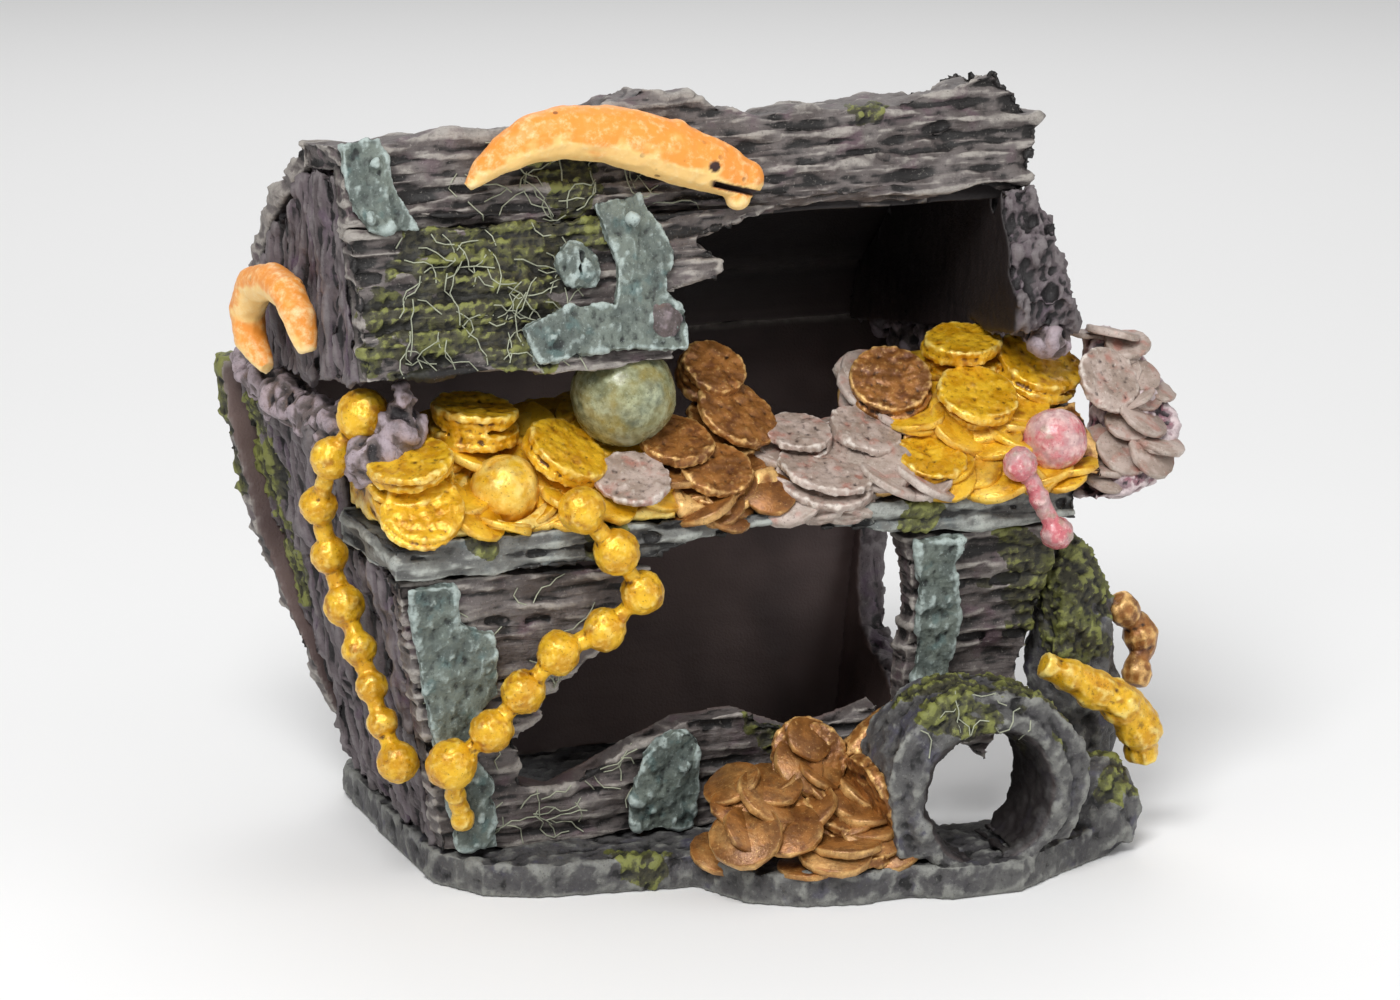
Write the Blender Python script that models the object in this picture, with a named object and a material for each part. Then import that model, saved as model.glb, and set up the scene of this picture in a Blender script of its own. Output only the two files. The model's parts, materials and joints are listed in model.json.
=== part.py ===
"""Sunken treasure chest: a hollow cast ornament for an aquarium, with an air stone that bubbles inside it.

The frame: +X runs along the chest's width, -Y is its front, +Z is up, and the origin lies on the floor under
the middle of the chest. Every length below is in millimetres, and MM turns it into metres where a mesh is made.
"""

import math

import bmesh
import bpy
from mathutils import Matrix, Vector, noise
from mathutils.bvhtree import BVHTree

MM = 0.001
GAP = 0.35
SEAT_GAP = 0.49

# The chest's box, which tapers from its rim down to its foot.
RIM_HALF_WIDTH, RIM_HALF_DEPTH = 67.0, 47.0
FOOT_HALF_WIDTH, FOOT_HALF_DEPTH = 52.0, 30.0
RIM_Z = 68.5
SLAB_TOP = 6.0
WALL = 6.0
LEDGE_BOTTOM = 62.0
LEDGE_BACK = -14.0
LEDGE_TOP = RIM_Z + 0.5
END_WALL_TOP = 88.0
BACK_WALL_TOP = 83.0
EXTREME = 120.0

# The lid, drawn in its own frame: origin on its back lower edge, -Y towards its front edge, Z off its rim.
LID_ORIGIN = (0.0, 47.0, 84.0)
LID_TILT = -8.2
LID_HALF_WIDTH = 69.5
LID_WALL = 5.0
LID_SECTION = [(0, 0), (-8, 14), (-34, 33), (-58, 43), (-80, 42), (-90, 0)]
LID_MIDDLE = (-45.0, 20.0)
LID_FACE_HEIGHT, LID_FACE_LEAN = 42.0, 10.0
LID_BAND = 14.0
RIGHT_END = 13.0

# The round tunnel at the front, and the pipe that feeds the air stone.
TUNNEL_X, TUNNEL_Z = 39.2, 17.8
TUNNEL_BORE, TUNNEL_OUTER = 12.0, 20.0
TUNNEL_FRONT, TUNNEL_BACK = -68.0, -53.0
AIR_X, AIR_Y, AIR_Z = -42.0, 14.0, 14.0
INLET_FACE = 31.6
PIPE_OUTER, PIPE_BORE = 3.0, 1.8
STONE_RADIUS, STONE_LENGTH, STONE_SEAT = 6.5, 24.0, 9.0


def clear_scene():
    """Removes what the startup scene holds."""
    for thing in list(bpy.data.objects):
        bpy.data.objects.remove(thing)


def finish(name, colour, roughness, metallic=0.0):
    """A Principled material of one colour."""
    material = bpy.data.materials.new(name)
    material.use_nodes = True
    shader = material.node_tree.nodes["Principled BSDF"]
    shader.inputs["Base Color"].default_value = (*colour, 1.0)
    shader.inputs["Roughness"].default_value = roughness
    shader.inputs["Metallic"].default_value = metallic
    return material


def add_object(name, mesh_data, material, parent=None):
    """Makes an object of a bmesh drawn in millimetres, with its faces turned outwards."""
    bmesh.ops.scale(mesh_data, vec=(MM, MM, MM), verts=mesh_data.verts)
    bmesh.ops.recalc_face_normals(mesh_data, faces=mesh_data.faces)
    mesh = bpy.data.meshes.new(name)
    mesh_data.to_mesh(mesh)
    mesh_data.free()
    mesh.materials.append(material)
    thing = bpy.data.objects.new(name, mesh)
    bpy.context.scene.collection.objects.link(thing)
    thing.parent = parent
    return thing


def round_off(thing, angle=40):
    """Shades a round piece smooth, apart from its sharp edges."""
    thing.data.shade_smooth()
    thing.data.set_sharp_from_angle(angle=math.radians(angle))
    return thing


def frame_at(name, origin, turn_x=0.0):
    """An empty that carries the pieces drawn in its own frame."""
    empty = bpy.data.objects.new(name, None)
    empty.location = Vector(origin) * MM
    empty.rotation_euler = (math.radians(turn_x), 0, 0)
    bpy.context.scene.collection.objects.link(empty)
    return empty


def prism(name, outline, axis, start, end, material, parent=None):
    """An outline drawn across an axis, extruded along it from start to end.

    Across X the outline's points are (y, z), across Y they are (x, z), and across Z they are (x, y).
    """
    place = {
        "X": lambda a, b, depth: (depth, a, b),
        "Y": lambda a, b, depth: (a, depth, b),
        "Z": lambda a, b, depth: (a, b, depth),
    }[axis]
    shape = bmesh.new()
    near = [shape.verts.new(place(a, b, start)) for a, b in outline]
    far = [shape.verts.new(place(a, b, end)) for a, b in outline]
    shape.faces.new(near)
    shape.faces.new(far[::-1])
    for i, corner in enumerate(near):
        after = (i + 1) % len(near)
        shape.faces.new((corner, far[i], far[after], near[after]))
    return add_object(name, shape, material, parent)


def half_width(z):
    """Half the box's width at a height."""
    return FOOT_HALF_WIDTH + (RIM_HALF_WIDTH - FOOT_HALF_WIDTH) * z / RIM_Z


def half_depth(z):
    """Half the box's depth at a height."""
    return FOOT_HALF_DEPTH + (RIM_HALF_DEPTH - FOOT_HALF_DEPTH) * z / RIM_Z


def ramp(z, steps):
    """The value at a height, between the nearest two of the (height, value) steps."""
    for (low, start), (high, end) in zip(steps, steps[1:]):
        if z <= high:
            return start + (end - start) * (z - low) / (high - low)
    return steps[-1][1]


def tapered_block(name, heights, extent, material):
    """A block with a ring of corners at each height, where extent(z) gives its (x0, x1, y0, y1)."""
    shape = bmesh.new()
    rings = []
    for z in heights:
        x0, x1, y0, y1 = extent(z)
        rings.append([shape.verts.new(p) for p in ((x0, y0, z), (x1, y0, z), (x1, y1, z), (x0, y1, z))])
    shape.faces.new(rings[0][::-1])
    shape.faces.new(rings[-1])
    for low, high in zip(rings, rings[1:]):
        for i in range(4):
            after = (i + 1) % 4
            shape.faces.new((low[i], low[after], high[after], high[i]))
    return add_object(name, shape, material)


def lumpy_column(name, sections, material, seed, rough=0.12):
    """A rocky column through (x, y, z, x radius, y radius) sections, with uneven sides."""
    sides = 14
    shape = bmesh.new()
    rings = []
    for x, y, z, x_radius, y_radius in sections:
        ring = []
        for i in range(sides):
            angle = 2 * math.pi * i / sides
            direction = Vector((math.cos(angle), math.sin(angle), 0.12 * z))
            swell = 1 + rough * noise.noise(direction * 1.9 + Vector((seed, 0, 0)))
            ring.append(
                shape.verts.new((x + x_radius * swell * math.cos(angle),
                                 y + y_radius * swell * math.sin(angle), z))
            )
        rings.append(ring)
    shape.faces.new(rings[0][::-1])
    shape.faces.new(rings[-1])
    for low, high in zip(rings, rings[1:]):
        for i in range(sides):
            after = (i + 1) % sides
            shape.faces.new((low[i], low[after], high[after], high[i]))
    return round_off(add_object(name, shape, material), 60)


def pearl(name, centre, radius, material, segments):
    """A round pearl."""
    shape = bmesh.new()
    bmesh.ops.create_uvsphere(shape, u_segments=segments, v_segments=segments * 5 // 8, radius=radius)
    bmesh.ops.translate(shape, vec=centre, verts=shape.verts)
    return round_off(add_object(name, shape, material), 60)


def facing(tilt, lean):
    """Turns a piece that lies flat so that its face tips towards the front, and sideways towards +X."""
    return Matrix.Rotation(math.radians(lean), 3, "Y") @ Matrix.Rotation(math.radians(tilt), 3, "X")


def coin_stack(name, centre, radius, tilt, lean, material, count=1, thickness=2.4, sides=16):
    """One or more coins cast as one stack, with a groove between each and the next."""
    groove = 0.5
    middle = count * thickness / 2
    profile = [(0.0, -middle)]
    for i in range(count):
        low = i * thickness - middle
        profile.append((radius, low + (groove if i else 0)))
        profile.append((radius, low + thickness - (groove if i < count - 1 else 0)))
        if i < count - 1:
            profile.append((radius - groove, low + thickness))
    profile.append((0.0, middle))
    shape = spun(profile, sides)
    bmesh.ops.rotate(shape, cent=(0, 0, 0), matrix=facing(tilt, lean), verts=shape.verts)
    bmesh.ops.translate(shape, vec=centre, verts=shape.verts)
    return round_off(add_object(name, shape, material), 30)


def tube_rings(shape, path, radii, sides):
    """Rings of points round a path, each square to it."""
    rings = []
    points = [Vector(p) for p in path]
    side = None
    for i, point in enumerate(points):
        ahead = points[min(i + 1, len(points) - 1)] - points[max(i - 1, 0)]
        ahead.normalize()
        if side is None:
            side = ahead.orthogonal().normalized()
        side = (side - ahead * side.dot(ahead)).normalized()
        other = ahead.cross(side)
        ring = []
        for k in range(sides):
            angle = 2 * math.pi * k / sides
            ring.append(shape.verts.new(point + (side * math.cos(angle) + other * math.sin(angle)) * radii[i]))
        rings.append(ring)
    return rings


def skin(shape, rings):
    """Faces between each ring of points and the next."""
    for low, high in zip(rings, rings[1:]):
        for i, corner in enumerate(low):
            after = (i + 1) % len(low)
            shape.faces.new((corner, low[after], high[after], high[i]))


def tapered_rod(name, path, radii, material, sides=12):
    """A solid rod along a path, of a radius at each point."""
    shape = bmesh.new()
    rings = tube_rings(shape, path, radii, sides)
    skin(shape, rings)
    shape.faces.new(rings[0][::-1])
    shape.faces.new(rings[-1])
    return round_off(add_object(name, shape, material), 60)


def pipe(name, path, outer, bore, material, sides=12):
    """A hollow pipe along a path. outer gives its radius at each point."""
    shape = bmesh.new()
    outside = tube_rings(shape, path, outer, sides)
    inside = tube_rings(shape, path, [bore] * len(path), sides)
    skin(shape, outside)
    skin(shape, inside)
    skin(shape, [outside[0], inside[0]])
    skin(shape, [outside[-1], inside[-1]])
    return round_off(add_object(name, shape, material), 40)


def spun(profile, sides):
    """A profile of (radius, height) points spun about Z, closed unless it starts and ends on the axis."""
    shape = bmesh.new()
    points = [shape.verts.new((r, 0, z)) for r, z in profile]
    pairs = list(zip(points, points[1:]))
    if profile[0][0] > 0:
        pairs.append((points[-1], points[0]))
    edges = [shape.edges.new(pair) for pair in pairs]
    bmesh.ops.spin(shape, geom=points + edges, axis=(0, 0, 1), angle=2 * math.pi, steps=sides, use_merge=True)
    bmesh.ops.remove_doubles(shape, verts=shape.verts, dist=0.001)
    return shape


def turned(name, profile, centre, material, axis="Z", sides=20, parent=None):
    """A spun profile, standing on centre along Z, or along +Y or -Y."""
    shape = spun(profile, sides)
    quarter = {"Z": 0, "Y": -90, "-Y": 90}[axis]
    bmesh.ops.rotate(shape, cent=(0, 0, 0), matrix=Matrix.Rotation(math.radians(quarter), 3, "X"),
                     verts=shape.verts)
    bmesh.ops.translate(shape, vec=centre, verts=shape.verts)
    return round_off(add_object(name, shape, material, parent))


def helper(thing):
    """Hides a cutter, which only shapes other pieces."""
    thing.hide_render = True
    thing.display_type = "WIRE"
    return thing


def combine(target, tool, operation):
    """Cuts a hidden tool out of a piece, or joins it on."""
    modifier = target.modifiers.new(operation.title() + "_" + tool.name, "BOOLEAN")
    modifier.operation = operation
    modifier.object = helper(tool)
    modifier.solver = "EXACT"
    return target


def seat_of(thing):
    """A hidden copy of a piece, grown all round by the gap, that leaves room for it in its neighbours."""
    mesh = thing.data.copy()
    mesh.transform(thing.matrix_world)
    for vertex in mesh.vertices:
        vertex.co += vertex.normal * SEAT_GAP * MM
    seat = bpy.data.objects.new(thing.name + "_seat", mesh)
    bpy.context.scene.collection.objects.link(seat)
    return helper(seat)


def surface_of(thing):
    """The piece's faces, as a tree that finds where it meets another."""
    corners = [thing.matrix_world @ v.co for v in thing.data.vertices]
    return BVHTree.FromPolygons(corners, [p.vertices for p in thing.data.polygons])


def bed_in(bedded, walls):
    """Lets each bedded piece give way to those before it in the list, and each wall to all of them."""
    bpy.context.view_layer.update()
    surfaces = [surface_of(piece) for piece in bedded + walls]
    seats = [seat_of(piece) for piece in bedded]
    around = [surface_of(seat) for seat in seats]
    for i, piece in enumerate(bedded + walls):
        for j in range(min(i, len(bedded))):
            if surfaces[i].overlap(around[j]):
                combine(piece, seats[j], "DIFFERENCE")


def build_base(rock):
    """The rocky slab that the chest stands on, with a bay that leaves the tunnel's far end open."""
    outline = [
        (-54.5, -28), (-48, -39), (-38, -44), (-24, -46), (-10, -48), (-5, -60), (4, -66), (14, -68.5),
        (24, -67.5),
        (31, -71.5), (44, -72), (56, -64.5), (68, -58), (75, -51), (77, -43), (60, -42), (54, -46),
        (40, -47), (36, -30),
        (37, 4), (52, 14), (54, 30), (40, 38), (14, 36), (-12, 40), (-36, 38), (-49, 38), (-53, 32), (-54, 6),
    ]  # fmt: skip
    slab = prism("base_slab", outline, "Z", 0, SLAB_TOP, rock)
    boulder = [(67, -53, 2, 9, 6.5), (67.5, -52.5, 8, 9, 6.5), (68, -51.5, 14, 7.5, 5), (68, -51, 17.5, 5, 3)]
    return combine(slab, lumpy_column("boulder", boulder, rock, 21.0), "UNION")


def build_box(wood):
    """The five walls of the broken box and the ledge along its front rim."""
    foot = SLAB_TOP + GAP
    under_ledge = LEDGE_BOTTOM - GAP
    inset = WALL + GAP

    def front(z):
        return -half_width(z), half_width(z), -half_depth(z), WALL - half_depth(z)

    left = tapered_block("front_wall_left", (foot, under_ledge), front, wood)
    window = [
        (-29, 80), (-29, 61), (-17, 60), (-18.1, 53.8), (-25.9, 44.3), (-36.7, 35.8), (-35.5, 32.7),
        (-39.7, 29.7),
        (-38.9, 19.5), (-32.4, 17.1), (-24, 21.2), (-8.9, 28.3), (2.8, 29.1), (15.3, 23.6), (27.1, 26.4),
        (31, 28),
        (31.5, -10), (90, -10), (90, 80),
    ]  # fmt: skip
    combine(left, prism("window_cutter", window, "Y", -60, -10, wood), "DIFFERENCE")

    right = tapered_block("front_wall_right", (foot, under_ledge), front, wood)
    pillar_room = [
        (-90, -10), (90, -10), (90, 6.5), (60, 8.5), (46, 20), (36, 25), (35, 30), (34.8, 36),
        (35.4, 45), (34, 54), (30.5, 64), (-90, 64),
    ]  # fmt: skip
    combine(right, prism("pillar_cutter", pillar_room, "Y", -60, -10, wood), "DIFFERENCE")

    def left_end(z):
        return -half_width(z), WALL - half_width(z), inset - half_depth(z), half_depth(min(z, RIM_Z)) - inset

    def right_end(z):
        return half_width(z) - WALL, half_width(z), inset - half_depth(z), half_depth(min(z, RIM_Z)) - inset

    end_left = tapered_block("left_end_wall", (foot, RIM_Z, END_WALL_TOP), left_end, wood)
    end_right = tapered_block("right_end_wall", (foot, RIM_Z, END_WALL_TOP), right_end, wood)
    side_door = [
        (-60, -10), (0, -10), (0, 17), (7, 21), (14, 23), (22, 26.5), (27.5, 34), (31, 43), (33, 54),
        (28, 60.5), (4, 58),
        (-12, 54), (-24, 50), (-34, 56), (-60, 50),
    ]  # fmt: skip
    combine(end_right, prism("side_door_cutter", side_door, "X", 30, 90, wood), "DIFFERENCE")
    back_of_ledge = LEDGE_BACK + GAP
    broken_top = [
        (-60, under_ledge), (back_of_ledge, under_ledge), (back_of_ledge, 78), (-8, 83), (-1, 86),
        (8, 84.5), (16, 85.5),
        (26, 83), (34, 83.4), (50, 83), (50, 99), (-60, 99),
    ]  # fmt: skip
    ledge_room = prism("ledge_room", broken_top, "X", -EXTREME, EXTREME, wood)
    combine(end_left, ledge_room, "DIFFERENCE")
    combine(end_right, ledge_room, "DIFFERENCE")

    lean = [(0, -48.5), (20, -56.5), (36, -62.5), (53, -67.5), (77, -72.5), (84, -73.5)]

    def back(z):
        deep = half_depth(min(z, RIM_Z))
        return ramp(z, lean), min(half_width(z), 68), deep - WALL, deep

    back_wall = tapered_block("back_wall", (foot, 20, 36, 53, RIM_Z, 77, BACK_WALL_TOP), back, wood)
    exit_hole = [(-36, 22), (-30, 16), (-20, 15), (-11, 20), (-8, 30), (-12, 41), (-22, 46), (-32, 42),
                 (-38, 33)]
    combine(back_wall, prism("exit_cutter", exit_hole, "Y", 10, 70, wood), "DIFFERENCE")
    inlet_profile = [(0, 0), (4.25, 0), (4.25, INLET_FACE - 15), (6.7, INLET_FACE - 15), (6.7, 30), (0, 30)]
    combine(back_wall, turned("inlet_cutter", inlet_profile, (AIR_X, 15, AIR_Z), wood, "Y"), "DIFFERENCE")

    ledge_front = [
        (-66.5, LEDGE_BOTTOM), (-17, LEDGE_BOTTOM), (-9, 65), (3, 65.4), (24, 64), (30, LEDGE_BOTTOM),
        (66.5, LEDGE_BOTTOM), (66.5, LEDGE_TOP), (-66.5, LEDGE_TOP),
    ]  # fmt: skip
    ledge = prism("treasure_ledge", ledge_front, "Y", -RIM_HALF_DEPTH, LEDGE_BACK, wood)
    return [left, right, end_left, end_right, back_wall, ledge]


def inner_section(section, wall):
    """The lid's section inside its wall: each side moved in, but for the open rim."""
    count = len(section)
    lines = []
    for i in range(count):
        start, end = Vector(section[i]), Vector(section[(i + 1) % count])
        along = (end - start).normalized()
        inward = Vector((-along.y, along.x))
        if inward.dot(Vector(LID_MIDDLE) - start) < 0:
            inward = -inward
        lines.append((start + inward * (wall if i < count - 1 else 0), along))
    corners = []
    for i in range(count):
        (p, d), (q, e) = lines[i - 1], lines[i]
        t = ((q - p).x * e.y - (q - p).y * e.x) / (d.x * e.y - d.y * e.x)
        corners.append(tuple(p + d * t))
    return corners


def build_lid(wood):
    """The half-open lid: a bent back panel, a beam along its top, half a front panel and two ends."""
    lid = frame_at("lid_frame", LID_ORIGIN, LID_TILT)
    inner = inner_section(LID_SECTION, LID_WALL)
    back_outline = LID_SECTION[:4] + [inner[3], inner[2], inner[1], inner[0]]
    back_outline = [(y + (GAP if i in (3, 4) else 0), z) for i, (y, z) in enumerate(back_outline)]
    back = prism("lid_back_panel", back_outline, "X", -LID_HALF_WIDTH, LID_HALF_WIDTH, wood, lid)

    share = LID_BAND / LID_FACE_HEIGHT
    outer_low = Vector(LID_SECTION[4]).lerp(Vector(LID_SECTION[5]), share)
    inner_low = Vector(inner[4]).lerp(Vector(inner[5]), share)
    beam_outline = [LID_SECTION[3], LID_SECTION[4], tuple(outer_low), tuple(inner_low), inner[4], inner[3]]
    beam = prism("lid_top_beam", beam_outline, "X", -LID_HALF_WIDTH, LID_HALF_WIDTH, wood, lid)
    hump = [(-69, 39.5), (-69, 41), (-64, 41.5), (-44, 42.6), (-30, 43), (-20, 46.5), (-11, 49), (-2, 47),
            (8, 43.8),
            (18, 43.2), (34, 43.8), (50, 46), (58, 49), (66, 47.5), (69, 46), (69, 39.5)]  # fmt: skip
    ridge = prism("ridge_blank", hump, "Y", -79, -60, wood, lid)
    ends = [(69.5, -10), (69.5, 8), (66, 16), (67.5, 20), (63.5, 25), (63.5, 30), (66.5, 35), (66.5, 39),
            (62, 45),
            (58, 50), (58, 80), (120, 80), (120, -10)]  # fmt: skip
    ragged = prism("ragged_end", ends, "Y", -120, 10, wood, lid)
    combine(beam, ridge, "UNION")
    combine(beam, ragged, "DIFFERENCE")

    front_outline = [tuple(outer_low), LID_SECTION[5], inner[5], tuple(inner_low)]
    front_outline = [(y, z - (GAP if i in (0, 3) else 0)) for i, (y, z) in enumerate(front_outline)]
    front = prism("lid_front_panel", front_outline, "X", -LID_HALF_WIDTH, 20, wood, lid)
    broken = [(-11, -10), (-11, 2), (-9.5, 9), (-13, 11.5), (-1, 14), (0.5, 18.5), (-5, 21.5), (8.6, 25),
              (14, 27.2),
              (14, 60), (40, 60), (40, -10)]  # fmt: skip
    combine(front, prism("lid_break_cutter", broken, "Y", -100, -60, wood, lid), "DIFFERENCE")

    end_outline = inner_section(LID_SECTION, LID_WALL + GAP)
    left_end = prism("lid_left_end", end_outline, "X", -LID_HALF_WIDTH, LID_WALL - LID_HALF_WIDTH, wood, lid)
    reach = (LID_BAND + GAP) / LID_FACE_HEIGHT
    inner_reach = (LID_BAND + GAP) / end_outline[4][1]
    jagged = end_outline[:5] + [
        tuple(Vector(end_outline[4]).lerp(Vector(end_outline[5]), inner_reach)),
        tuple(Vector(LID_SECTION[4]).lerp(Vector(LID_SECTION[5]), reach)),
        (-83.5, 22), (-86, 17), (-85.5, 11), (-88.5, 6), (-86.5, 0),
    ]  # fmt: skip
    right_end = prism("lid_right_end", jagged, "X", LID_HALF_WIDTH - RIGHT_END, LID_HALF_WIDTH + 1, wood, lid)
    combine(right_end, ragged, "DIFFERENCE")
    return [front, beam, back, left_end, right_end]


def build_ironwork(iron):
    """The straps, hasp and stud, as plates a little proud of the boards that they hold."""
    slope = math.degrees(math.atan((RIM_HALF_DEPTH - FOOT_HALF_DEPTH) / RIM_Z))
    front = frame_at("front_frame", (0, -FOOT_HALF_DEPTH, 0), slope)
    lid = bpy.data.objects["lid_frame"]
    face = math.degrees(math.atan(LID_FACE_LEAN / LID_FACE_HEIGHT))
    lid_front = frame_at("lid_front_frame", (0, LID_SECTION[5][0], 0), -face)
    lid_front.parent = lid
    thick = 1.8
    plates = [
        ("corner_strap", [(-51, 8), (-43.5, 8), (-45, 22), (-49, 27), (-49, 36), (-45.5, 40), (-47, 52),
                          (-54, 55),
                          (-55, 63), (-64, 63), (-60.5, 46), (-55, 24)], front),
        ("front_strap_centre", [(-17, 8), (-5, 7.5), (-4.5, 16), (-6, 27), (-11, 28.5), (-16.5, 23.5),
                                (-18, 15)], front),
        ("front_strap_right", [(36.5, 31), (43, 30), (44.5, 47), (42, 58), (43.5, 63), (33.8, 63),
                               (36, 50)], front),
        ("lid_corner_strap", [(-69, 43), (-62, 43.5), (-60, 34), (-57, 27), (-66, 27), (-69, 33)], lid_front),
        ("lid_hasp", [(-40, 8), (-31, 11.5), (-22, 11), (-20.5, 19), (-24, 29.5), (-15, 31), (-9.5, 20),
                      (-12.5, 12.5),
                      (-9, 9), (-9.5, 2), (-22, 3), (-38, 1.5)], lid_front),
    ]  # fmt: skip
    made = [prism(name, outline, "Y", -GAP - thick, -GAP, iron, parent) for name, outline, parent in plates]
    dome = [(0, 0), (4.6, 0), (4.2, 1.6), (2.6, 2.8), (0, 3.2)]
    return made + [turned("lid_stud", dome, (-28, -GAP, 18.6), iron, "-Y", sides=16, parent=lid_front)]


def build_tunnel(rock):
    """The round stone arch at the front, and the rock that stands beside it."""
    start, end = math.radians(-31), math.radians(211)
    steps = 22
    outer, inner = [], []
    for i in range(steps + 1):
        angle = start + (end - start) * i / steps
        swell = TUNNEL_OUTER + 0.9 * math.sin(3.1 * angle + 0.6) + 0.5 * math.sin(7.3 * angle)
        outer.append((TUNNEL_X + swell * math.cos(angle),
                      max(SLAB_TOP + GAP, TUNNEL_Z + swell * math.sin(angle))))
        bend = math.radians(-78) + math.radians(336) * i / steps
        inner.append((TUNNEL_X + TUNNEL_BORE * math.cos(bend),
                      max(SLAB_TOP + GAP, TUNNEL_Z + TUNNEL_BORE * math.sin(bend))))  # fmt: skip
    arch = prism("tunnel_arch", outer + inner[::-1], "Y", TUNNEL_FRONT, TUNNEL_BACK, rock)
    flank = lumpy_column(
        "flank_rock",
        [(70, -37, 0, 7, 5), (70.5, -36.5, 8, 8.5, 8), (71, -36, 20, 8.5, 8.5), (70.5, -36, 32, 8, 8.5),
         (70.5, -36, 42, 7.5, 8.5), (69, -35, 50, 6.5, 8), (67, -34, 56.5, 4.5, 5)],
        rock, 3.0,
    )  # fmt: skip
    return [arch, flank]


def bead_string(name, beads, material, cord=1.1, sides=9):
    """Beads of (x, y, z, radius) cast on a cord, as one sweep whose radius swells at each bead."""
    path, radii = [], []
    for i, (*centre, radius) in enumerate(beads):
        centre = Vector(centre)
        before = Vector(beads[max(i - 1, 0)][:3])
        after = Vector(beads[min(i + 1, len(beads) - 1)][:3])
        along = (after - before).normalized()
        nearest = min((other - centre).length for other in (before, after) if other != centre)
        reach = min(0.94 * radius, nearest / 2 - 1)
        for share in (-1, -0.74, 0, 0.74, 1):
            path.append(centre + along * reach * share)
            radii.append(max(cord, math.sqrt(radius**2 - (reach * share) ** 2)))
    return tapered_rod(name, path, radii, material, sides)


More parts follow.
